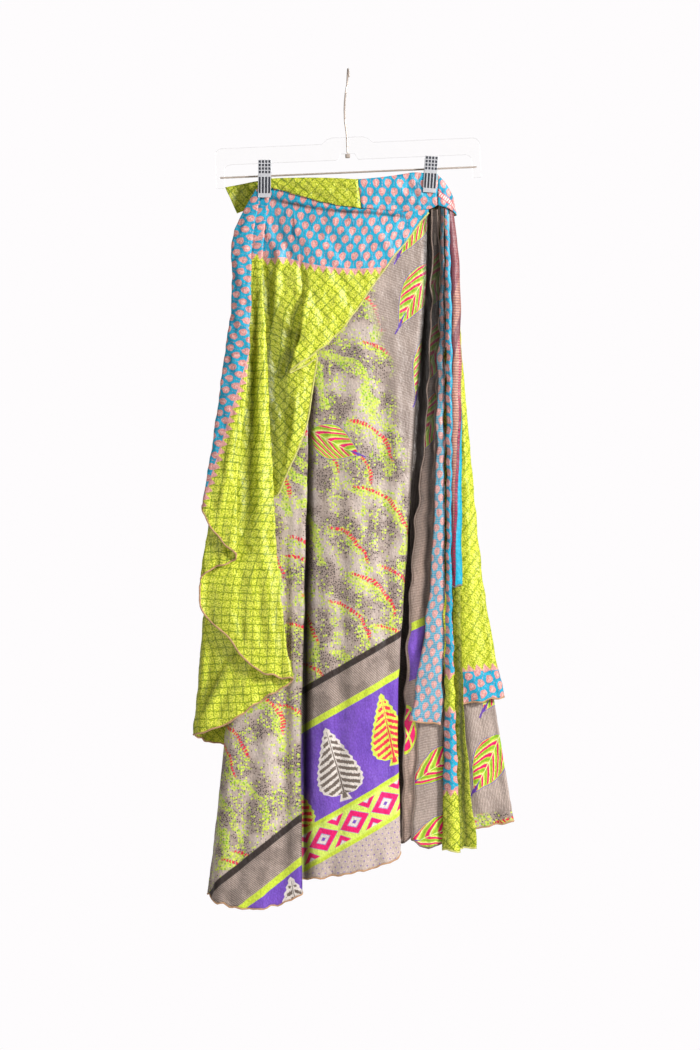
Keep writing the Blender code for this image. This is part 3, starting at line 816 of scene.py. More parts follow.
@dataclass(frozen=True)
class PalluSilk(StippleSilk):
    """The underskirt's front: the stippled field ends in slanting bands, the left of the deep
    fold at one slant and the right of it at another."""

    fold_at: float = -80.0
    right_angle: float = -30.0
    right_start: float = 686.7
    left_angle: float = -37.6
    left_start: float = 717.7

    def bands(self, cloth: Cloth, angle: float, start: float) -> tuple[Term, Term]:
        """Lay the slanting bands over the field.

        Args:
            cloth: The silk's nodes.
            angle: The bands' slant in degrees.
            start: Distance of the dark band's middle from the frame's origin.

        Returns:
            Distance along the bands, and below the dark band's middle.
        """
        along, level = cloth.turned(angle)
        level = level - start
        cloth.lay(level.above(0, 0.5), Ink.TAUPE)
        here, purple = level.between(4, 40, 1), level.between(48.8, 162, 0.5)
        cloth.lay(here * 0.2, Ink.TAUPE_CLOUD)
        cloth.lay(here * (along - level * 0.3).saw(2.5).below(0.24, 0.12) * 0.75, Ink.RIB)
        cloth.lay(here * cloth.noise(24, 2, shift=97).above(0.54, 0.1) * 0.3, Ink.BROWN)
        cloth.lay(level.between(-4.2, 4.2, 0.7), Ink.BROWN)
        cloth.lay(level.between(39.8, 48.8, 0.5), Ink.LIME)
        cloth.lay(purple, Ink.PURPLE)
        cloth.lay(purple * cloth.noise(34, 2, shift=71).above(0.5, 0.12) * 0.5, Ink.PURPLE_DEEP)
        return along, level

    def decorate(self, cloth: Cloth) -> None:
        """Lay the field, the bands on both sides of the fold, and the broad leaves."""
        super().decorate(cloth)
        stippled = cloth.colour
        self.bands(cloth, self.left_angle, self.left_start)
        lay_fern(cloth, -124, 1122, 80, Ink.CREAM, Ink.RIB)
        with cloth.only(cloth.across.above(self.fold_at, 0.5), stippled):
            along, level = self.bands(cloth, self.right_angle, self.right_start)
            lay_fern(cloth, -16, 925, 73, Ink.CREAM, Ink.RIB)
            lay_fern(cloth, 54, 879, 77, Ink.LIME_BRIGHT, Ink.RED, 98, 56)
            lay_fern(cloth, -79, 980, 66, Ink.LIME_BRIGHT, Ink.RED, 98, 56)
            x = along.saw(7.6) * 7.6
            y = (level / 7.4 + (along / 7.6).whole() * 0.5).saw() * 7.4
            dot = (x * x + y * y).power(0.5)
            foot = level.above(209, 0.5)
            cloth.lay(foot, Ink.TAUPE)
            cloth.lay(level.above(212, 0.5) * dot.below(1.05, 0.4) * 0.8, Ink.PURPLE_DEEP)
            cloth.lay(foot * cloth.noise(1.6, 1).above(0.55, 0.1) * 0.3, Ink.CREAM)
            with cloth.only(level.between(160.2, 210.8, 0.3)):
                lay_diamonds(cloth, along + 39.5, level - 185.5)


@dataclass(frozen=True)
class TieSilk(Silk):
    """Mauve tie with fine crossing stripes and a crimson beaded edge, blue along its right, with painted
    light in peach and painted shade in plum.
    """

    ground: Ink = Ink.MAUVE

    def decorate(self, cloth: Cloth) -> None:
        """Lay the stripes, the blue end, the beads, and the painted light and shade of the tie's folds.
        """
        across, drop = cloth.across, cloth.drop
        wave = across + (cloth.noise(30, 1, stretch=(1, 4)) - 0.5) * 2
        edge, middle = across + drop * 0.05, drop + across * 3
        bead = drop.saw(3.6).below(0.3, 0.1)
        upper = (drop + across * 2.46).above(298, 1.2) * across.above(-2, 2)
        lower = middle.above(383, 1.2) * across.above(-6, 1.5) * drop.below(540, 60)
        rim = abs(edge - 31.2).below(2.2, 0.4) * drop.above(450, 20)
        above_end = drop.below(645, 9)
        # Plum over the left half and in the band above the second slant is painted shade, and the peach
        # zones above and below it are painted light, of the folded tie; the other plum marks are print.
        for mask, ink in (
                (across.below(1, 4) * 0.7, Ink.PLUM), (upper * 0.8, Ink.LIT_PEACH),
                (middle.between(352, 383, 5) * 0.8, Ink.PLUM), (lower * 0.8, Ink.LIT_PEACH),
                (drop.saw(3.5).below(0.24, 0.1) * 0.6, Ink.PLUM), (edge.above(33.4, 0.5), Ink.BLUE),
                (abs(wave + 5.5).below(3, 0.5) * 0.8 * above_end, Ink.PLUM),
                (abs(wave + 5.5).below(1.4, 0.3) * bead * above_end, Ink.CRIMSON),
                (abs(wave - 7).below(1.2, 0.3) * bead * drop.between(360, 470, 9), Ink.CRIMSON),
                (rim, Ink.PLUM), (rim * bead * abs(edge - 31.2).below(1.2, 0.3), Ink.CRIMSON)):
            cloth.lay(mask, ink)


@dataclass(frozen=True)
class Thread:
    """Overlock thread, wound round a cloth's edge."""

    name: str
    code: str

    def make(self) -> bpy.types.Material:
        """Build the material.

        Returns:
            Thread with slanting turns along the edge.
        """
        cloth = Cloth(self.name, self.code)
        turn = (cloth.across + cloth.drop * 1.6).saw(1.1)
        cloth.tone(turn * 0.5 + 0.78)
        cloth.tone(cloth.noise(6, 2) * 0.4 + 0.8)
        bump = cloth.add("Bump", Strength=CORD_STRENGTH, Distance=CORD_RELIEF, Height=turn)
        feed(cloth.tree, cloth.shader, Base_Color=cloth.colour, Normal=bump.outputs[0],
             Roughness=0.6)
        return cloth.material


def grain(tree: bpy.types.NodeTree, scale: float, detail: float) -> Term:
    """Noise on a solid piece's own coordinates.

    Args:
        tree: The material's nodes.
        scale: Patches to a metre.
        detail: Octaves.

    Returns:
        The noise, about 0 to 1.
    """
    noise = add(tree, "TexNoise", Scale=scale, Detail=detail,
                Vector=add(tree, "TexCoord").outputs["Object"])
    return Term(tree, noise.outputs["Fac"])


@dataclass(frozen=True)
class Metal:
    """Bright wire or plated steel with fine scratches."""

    name: str
    code: str
    roughness: float
    metallic: float

    def make(self) -> bpy.types.Material:
        """Build the material.

        Returns:
            The finished material.
        """
        made, tree, shader = material(self.name)
        fine = grain(tree, 1 / SCRATCH, 3)
        bright = srgb(self.code)
        tint = add(tree, "Mix", data_type="RGBA", Factor=fine.above(0.56, 0.2), A=bright,
                   B=(*[c * SCRATCH_TONE for c in bright[:3]], 1))
        feed(tree, shader, Base_Color=tint.outputs["Result"], Metallic=self.metallic,
             Roughness=(fine - 0.5) * 0.2 + self.roughness)
        return made


@dataclass(frozen=True)
class ClearPlastic:
    """Clear moulded plastic, which shows most at its rims."""

    name: str = "clear_moulding"

    def make(self) -> bpy.types.Material:
        """Build the material.

        Returns:
            The finished material.
        """
        made, tree, shader = material(self.name)
        fine = grain(tree, 55, 2)
        rim = Term(tree, add(tree, "LayerWeight", Blend=0.3).outputs["Facing"])
        feed(tree, shader, Base_Color=CLEAR_TINT, IOR=1.49, Roughness=fine * 0.1 + 0.1,
             Alpha=rim.power(2) * 0.4 + fine * 0.03 + 0.01)
        return made


# ------------------------------------------------------------------ cloth shells

class Fold(NamedTuple):
    """One fold line: its drop at top and hem, and its places down the cloth."""

    top: float
    hem: float
    across: tuple[float, ...]
    depth: tuple[float, ...]


class Crease(NamedTuple):
    """A soft ridge, or a trough if the rise is minus, along a line given across and down.

    It shapes only the cloth from fold line `first` to fold line `last`, and there its dark lays painted
    shade; a minus dark lays painted light.
    """

    across: float
    drop: float
    to_across: float
    to_drop: float
    bend: float
    width: float
    rise: float
    first: int = 0
    last: int = 99
    # painted shade laid along the crease; painted light where it is minus
    dark: float = 0.0


CORNER_SHARE = 0.45                             # share of a span that a fold's rounding takes
LEVELS = (0, 0.15, 0.35, 0.55, 0.78, 1)         # how far down the places of a fold line are
WAIST_BOW, BOW_HALF_WIDTH = 8.0, 100.0          # how far front and back part between the clips
LAYER_PITCH = 2.2
SEAM_SHIFT = 0.3
SHELL_WALL = 0.55                               # thickness of the silk as it shows
COLUMN_STEP = 5.0                               # distance between points across a cloth
FLAT_LEVELS = 240                               # levels at which a sheet's run is measured
EASINGS, EASING_GAIN = 160, 1.4                 # how a sheet is flattened
WAVES, WAVE_SCALE = 7, 3.0                      # waves laid over each other in a ripple
CRINKLES = ((0.7, (17, 60)), (0.5, (10, 26)))   # height, and wave length across and down
END_REACH = 1.6                                 # a crease's softness past its ends, in widths
HEM_SIZE, HEM_BAND, HEM_RISE = 34.0, 30.0, 1.5  # length, reach and height of the hems' waves
SWAY_TOP = 90.0                                 # how far down a strip begins to sway
LONG = 900.0                                    # a wave length too great to show
CORD_RADIUS, CORD_SIDES, CORD_FLAT = 0.85, 8, 1.35
CORD_SWELL, CORD_WAVE, CORD_SEED = 0.16, 11, 77


def ripple(u: np.ndarray, v: np.ndarray, size: tuple[float, float], seed: int) -> np.ndarray:
    """Uneven waves over the flat cloth.

    Args:
        u: Distance across.
        v: Distance along.
        size: Wave length across and along.
        seed: Seed of the waves' phases.

    Returns:
        Heights from about -1 to 1.
    """
    chance = np.random.default_rng(seed)
    total = np.zeros_like(u)
    for _ in range(WAVES):
        spread = chance.uniform(0.6, 1.7, 2)
        phase = chance.uniform(0, 2 * math.pi)
        lean = chance.choice((-1, 1))
        total += np.sin(2 * math.pi * (u / (size[0] * spread[0]) + lean * v / (size[1] * spread[1]))
                        + phase)
    return total / WAVE_SCALE


def smooth(values: np.ndarray, low: float, high: float) -> np.ndarray:
    """A smooth step from 0 at low to 1 at high."""
    t = np.clip((values - low) / (high - low), 0, 1)
    return t * t * (3 - 2 * t)


def unit(vectors: np.ndarray) -> np.ndarray:
    """The vectors at a length of 1."""
    return vectors / np.maximum(np.linalg.norm(vectors, axis=-1, keepdims=True), 1e-9)


def rail(fold: Fold, rows: int, waist: float | None) -> np.ndarray:
    """Points of one fold line from its top to its hem, in millimetres.

    Args:
        fold: The fold line.
        rows: Number of points.
        waist: Depth of the layer at the waist, or None where the table gives it.

    Returns:
        An array of rows by 3.
    """
    count, depths = len(fold.across), list(fold.depth)
    if waist is not None:
        share = min(1, abs(fold.across[0]) / BOW_HALF_WIDTH)
        depths[0] = waist + math.copysign(WAIST_BOW * (1 - share * share), waist)
    points = np.array([(x, y, -(fold.top + (fold.hem - fold.top) * s)) for x, y, s
                       in zip(fold.across, depths, LEVELS if count > 2 else (0, 1))], float)
    at = np.linspace(0, count - 1, rows)
    i = np.minimum(at.astype(int), count - 2)
    t = (at - i)[:, None]
    a, b, c, d = (points[np.clip(i + step, 0, count - 1)] for step in (-1, 0, 1, 2))
    if count == 2:
        return b * (1 - t) + c * t
    return 0.5 * (2 * b + (c - a) * t + (2 * a - 5 * b + 4 * c - d) * t ** 2
                  + (3 * b - a - 3 * c + d) * t ** 3)


def piece(name: str, points: np.ndarray, faces: list[list[int]], flat: np.ndarray,
          *finishes: bpy.types.Material, closed: bool = False) -> bpy.types.Object:
    """Make one piece with its flat-cloth map.

    Args:
        name: Its name.
        points: Its points in millimetres.
        faces: The numbers of each face's points.
        flat: Each point's place on the flat cloth in millimetres.
        finishes: Its materials.
        closed: Whether its faces are to be turned outwards.

    Returns:
        The piece.
    """
    mesh = bpy.data.meshes.new(name)
    mesh.from_pydata((points.reshape(-1, 3) * MM).tolist(), [], faces)
    if closed:
        form = bmesh.new()
        form.from_mesh(mesh)
        bmesh.ops.recalc_face_normals(form, faces=form.faces)
        form.to_mesh(mesh)
        form.free()
    layer = mesh.uv_layers.new(name="flat_cloth")
    corners = np.zeros(len(mesh.loops), int)
    mesh.loops.foreach_get("vertex_index", corners)
    layer.data.foreach_set("uv", (flat.reshape(-1, 2)[corners] * MM).ravel())
    mesh.shade_smooth()
    for finish in finishes:
        mesh.materials.append(finish)
    made = bpy.data.objects.new(name, mesh)
    bpy.context.scene.collection.objects.link(made)
    return made


@dataclass
class Sheet:
    """One cut piece of cloth, hung on its own fold lines of FOLDS and shaped by its CREASES.

    Its points are kept in millimetres as rows by columns by 3, with the flat cloth's own
    coordinates beside them.
    """

    name: str
    silk: Silk
    seed: int
    reverse: Silk | None = None
    thread: Thread | None = None
    side_threads: tuple[str, ...] = ()
    rests_on: tuple[str, ...] = ()
    waist: float | None = None
    rows: int = 150
    anchor: int = 1
    anchor_at: float = 0
    outward: int = -1
    # bands between fold lines where painted shade darkens the colour, with their factor
    painted_shade_bands: tuple[tuple[int, int, float], ...] = ()
    crinkle: float = 0.5
    calm_top: float = 60
    hem_wave: float = 1.6
    hem_reach: float = 55
    sway: float = 0
    sway_size: float = 60

    def __post_init__(self) -> None:
        """Look up the sheet's creases."""
        self.creases = [Crease(*row) for row in CREASES.get(self.name, ())]

    def grid(self) -> tuple[np.ndarray, list[int]]:
        """Round the fold lines off into a grid of points.

        Returns:
            The points, and the column at which each fold line lies.
        """
        folds = FOLDS[self.name]
        rails = np.stack([rail(fold, self.rows, self.waist) for fold in folds], axis=1)
        spans = np.linalg.norm(np.diff(rails, axis=1), axis=2)
        columns, marks, last = [rails[:, :1]], [0], rails[:, 0]
        for j in range(1, len(folds)):
            into = out = corner = rails[:, j]
            bends = 0
            if j < len(folds) - 1:
                reach = (CORNER_SHARE * np.minimum(spans[:, j - 1], spans[:, j]))[:, None]
                into = corner + (rails[:, j - 1] - corner) / spans[:, j - 1:j] * reach
                out = corner + (rails[:, j + 1] - corner) / spans[:, j:j + 1] * reach
                bends = max(4, math.ceil(2 * reach.max() / COLUMN_STEP))
            length = np.linalg.norm(into - last, axis=1).max()
            t = np.linspace(0, 1, max(1, math.ceil(length / COLUMN_STEP)) + 1)[1:, None]
            columns.append(last[:, None] * (1 - t) + into[:, None] * t)
            marks.append(sum(c.shape[1] for c in columns) - 1 + bends // 2)
            t = np.linspace(0, 1, bends + 1)[1:, None]
            columns.append(into[:, None] * (1 - t) ** 2 + corner[:, None] * (2 * t * (1 - t))
                           + out[:, None] * t ** 2)
            last = out
        return np.concatenate(columns, axis=1), marks

    def unroll(self, points: np.ndarray, marks: list[int]) -> np.ndarray:
        """Flatten the grid, so that the print isn't stretched.

        It starts from the distance across and the drop, and then eases every link between
        neighbours towards its real length.

        Args:
            points: The grid.
            marks: The fold lines' columns.

        Returns:
            Flat-cloth coordinates, rows by columns by 2.
        """
        mark, drop = marks[self.anchor], -points[..., 2]
        levels = np.linspace(drop.min(), drop.max(), FLAT_LEVELS)
        columns = range(points.shape[1])
        level = np.array([[np.interp(levels, drop[:, j], points[:, j, axis]) for j in columns]
                          for axis in (0, 1)])
        run = np.cumsum(np.hypot(*np.diff(level, axis=1, prepend=level[:, :1])), axis=0)
        run = run - (run[mark] - self.anchor_at)
        across = np.stack([np.interp(drop[:, j], levels, run[j]) for j in columns], axis=1)
        flat = np.stack([across, drop], axis=2)
        ends = [(np.s_[:, :-1], np.s_[:, 1:]), (np.s_[:-1], np.s_[1:]),
                (np.s_[:-1, :-1], np.s_[1:, 1:]), (np.s_[:-1, 1:], np.s_[1:, :-1])]
        lengths = [np.linalg.norm(points[b] - points[a], axis=2) for a, b in ends]
        pull = np.zeros((*drop.shape, 1))
        for a, b in ends:
            pull[a] += 1
            pull[b] += 1
        middle = flat[:, mark].mean(axis=0)
        for _ in range(EASINGS):
            shift = np.zeros_like(flat)
            for (a, b), length in zip(ends, lengths):
                apart = flat[b] - flat[a]
                now = np.maximum(np.linalg.norm(apart, axis=2), 1e-6)
                move = apart * ((now - length) / now * 0.5)[..., None]
                shift[a] += move
                shift[b] -= move
            flat += EASING_GAIN * shift / pull
        return flat + middle - flat[:, mark].mean(axis=0)

    def normals(self, points: np.ndarray, mark: int) -> np.ndarray:
        """Unit normals of the grid, outwards at the anchor fold."""
        normal = unit(np.cross(np.gradient(points, axis=1), np.gradient(points, axis=0)))
        return normal if normal[:, mark, 1].mean() * self.outward > 0 else -normal

    def footprint(self, crease: Crease, points: np.ndarray, marks: list[int]) -> np.ndarray:
        """How strongly one crease shapes each point.

        Args:
            crease: The crease.
            points: The grid.
            marks: The fold lines' columns.

        Returns:
            Strengths from 0 to 1.
        """
        start = np.array((crease.across, crease.drop), float)
        run = np.array((crease.to_across, crease.to_drop), float) - start
        length = np.linalg.norm(run)
        run /= length
        right, down = points[..., 0] - start[0], -points[..., 2] - start[1]
        t = right * run[0] + down * run[1]
        share = np.clip(t / length, 0, 1)
        off = right * -run[1] + down * run[0] - crease.bend * 4 * share * (1 - share)
        beyond = np.maximum(np.maximum(-t, t - length), 0)
        near = np.exp(-(off / crease.width) ** 2 - (beyond / (END_REACH * crease.width)) ** 2)
        near *= 0.35 + 0.65 * np.sin(np.pi * (0.08 + 0.84 * share))
        column = np.arange(points.shape[1])
        if crease.first:
            first = marks[crease.first]
            near *= smooth(column, first - 1, first + 3)
        if crease.last < len(marks) - 1:
            last = marks[crease.last]
            near *= 1 - smooth(column, last - 3, last + 1)
        return near

    def relief(self, points: np.ndarray, flat: np.ndarray, marks: list[int]) -> np.ndarray:
        """Height of creases, crinkles and hem waves over the cloth.

        Args:
            points: The grid.
            flat: Its flat-cloth coordinates.
            marks: The fold lines' columns.

        Returns:
            The height at each point, in millimetres.
        """
        u, v = flat[..., 0], flat[..., 1]
        drop = -points[..., 2]
        height = sum((crease.rise * self.footprint(crease, points, marks)
                      for crease in self.creases), np.zeros_like(u))
        height += self.crinkle * smooth(drop - drop[0], 0, self.calm_top) * sum(
            rise * ripple(u, v, size, self.seed + i) for i, (rise, size) in enumerate(CRINKLES))
        envelope = 1 - smooth(drop[-1] - drop, 0, self.hem_reach)
        height += self.hem_wave * envelope ** 1.5 * ripple(u, v * 0, (HEM_SIZE, LONG), self.seed + 2)
        return height * smooth(drop - drop[0], -1, 12)

    def shades(self, points: np.ndarray, marks: list[int]) -> np.ndarray:
        """Painted shade and painted light at each point, as factors on the colour.

        Args:
            points: The grid.
            marks: The fold lines' columns.

        Returns:
            Factors, lowered by painted shade between the sheet's shaded fold lines and along dark
            creases, raised by painted light where a crease's dark is minus.
        """
        column = np.arange(points.shape[1])
        shade = np.ones(points.shape[:2])
        for first, last, factor in self.painted_shade_bands:
            inside = (smooth(column, marks[first] - 2, marks[first] + 2)
                      * (1 - smooth(column, marks[last] - 2, marks[last] + 2)))
            shade *= 1 - (1 - factor) * inside
        for crease in self.creases:
            if crease.dark:
                shade *= 1 - crease.dark * self.footprint(crease, points, marks)
        return shade

    def build(self) -> bpy.types.Object:
        """Returns:
            The shell.
        """
        points, marks = self.grid()
        flat = self.unroll(points, marks)
        normal = self.normals(points, marks[self.anchor])
        lifted = points + normal * self.relief(points, flat, marks)[..., None]
        drop = -points[..., 2]
        hem_share = (1 - smooth(drop[-1] - drop, 0, HEM_BAND)) * min(1, self.hem_wave)
        lifted[..., 2] += hem_share * HEM_RISE * ripple(flat[..., 0], drop * 0,
                                                        (HEM_SIZE * 0.6, LONG), self.seed + 5)
        lifted[..., 0] += self.sway * smooth(drop - drop[0], 0, SWAY_TOP) * ripple(
            drop, drop * 0, (self.sway_size, LONG), self.seed + 7)
        shell = self.shell(lifted, flat)
        # The tone attribute carries the painted shade and painted light, which the silks multiply into
        # the colour.
        tone = shell.data.attributes.new("tone", "FLOAT", "POINT")
        tone.data.foreach_set("value", self.shades(points, marks).ravel())
        hems = self.edges(lifted)
        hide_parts(self.name)
        for part in (shell, *hems):
            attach(part, "root")
        LOG.info("%s: %d points, %d hems", self.name, drop.size, len(hems))
        return shell

    def shell(self, points: np.ndarray, flat: np.ndarray) -> bpy.types.Object:
        """A thin shell on the points, with its flat-cloth map and silks.

        Args:
            points: The grid as it hangs.
            flat: Its flat-cloth coordinates.

        Returns:
            The shell.
        """
        index = np.arange(points[..., 0].size).reshape(points.shape[:2])
        quads = np.stack([index[:-1, :-1], index[1:, :-1], index[1:, 1:], index[:-1, 1:]], axis=-1)
        if self.outward > 0:
            quads = quads[..., ::-1]
        face = self.silk.make()
        shell = piece(self.name + "_silk", points, quads.reshape(-1, 4).tolist(), flat, face,
                      self.reverse.make() if self.reverse else face)
        wall = shell.modifiers.new("wall", "SOLIDIFY")
        wall.thickness = SHELL_WALL * MM
        wall.offset = 0
        wall.material_offset = 1
        return shell

    def edges(self, points: np.ndarray) -> list[bpy.types.Object]:
        """Overlock the hem, and the sides named in side_threads.

        Args:
            points: The grid as it hangs.

        Returns:
            The cords of thread.
        """
        paths = {"hem": points[-1], "left_edge": points[:, 0], "right_edge": points[:, -1]}
        return [overlock(f"{self.name}_{edge}", paths[edge], self.thread)
                for edge in ("hem", *self.side_threads) if self.thread]


def overlock(name: str, path: np.ndarray, thread: Thread) -> bpy.types.Object:
    """A cord of thread wound round a cloth's edge.

    Args:
        name: The piece's name.
        path: Points of the edge in millimetres.
        thread: The thread.

    Returns:
        The piece.
    """
    along = unit(np.gradient(path, axis=0))
    first = unit(np.cross(along, (0, 1, 0)))
    second = np.cross(along, first)
    run = np.concatenate([[0], np.cumsum(np.linalg.norm(np.diff(path, axis=0), axis=1))])
    swell = CORD_RADIUS * (1 + CORD_SWELL * ripple(run, run * 0, (CORD_WAVE, LONG), CORD_SEED))
    turn = np.linspace(0, 2 * math.pi, CORD_SIDES, endpoint=False)
    ring = path[:, None] + swell[:, None, None] * (
        np.cos(turn)[:, None] * first[:, None] * CORD_FLAT + np.sin(turn)[:, None] * second[:, None])
    index = np.arange(run.size * CORD_SIDES).reshape(-1, CORD_SIDES)
    after = np.roll(index, -1, axis=1)
    quads = np.stack([index[:-1], after[:-1], after[1:], index[1:]], axis=-1).reshape(-1, 4)
    caps = [index[0][::-1].tolist(), index[-1].tolist()]
    flat = np.stack([np.repeat(run, CORD_SIDES), np.tile(turn * CORD_RADIUS, run.size)], axis=1)
    return piece(name, ring, quads.tolist() + caps, flat, thread.make(), closed=True)


def lines(top: float | None, *rows: tuple[float, ...]) -> list[Fold]:
    """Fold lines from rows of numbers.

    Args:
        top: The drop of every line's top, or None where each row starts with its own.
        rows: For each line the drop of its hem, its places across, and then as many depths.

    Returns:
        The fold lines.
    """
    made = []
    for row in rows:
        first, hem, *places = row if top is None else (top, *row)
        half = len(places) // 2
        made.append(Fold(first, hem, tuple(places[:half]), tuple(places[half:])))
    return made


def seam_side(fold: Fold, side: int) -> Fold:
    """A seam's fold line moved to the edge of the front (-1) or back (+1) piece."""
    return fold._replace(depth=tuple(y + side * SEAM_SHIFT for y in fold.depth))


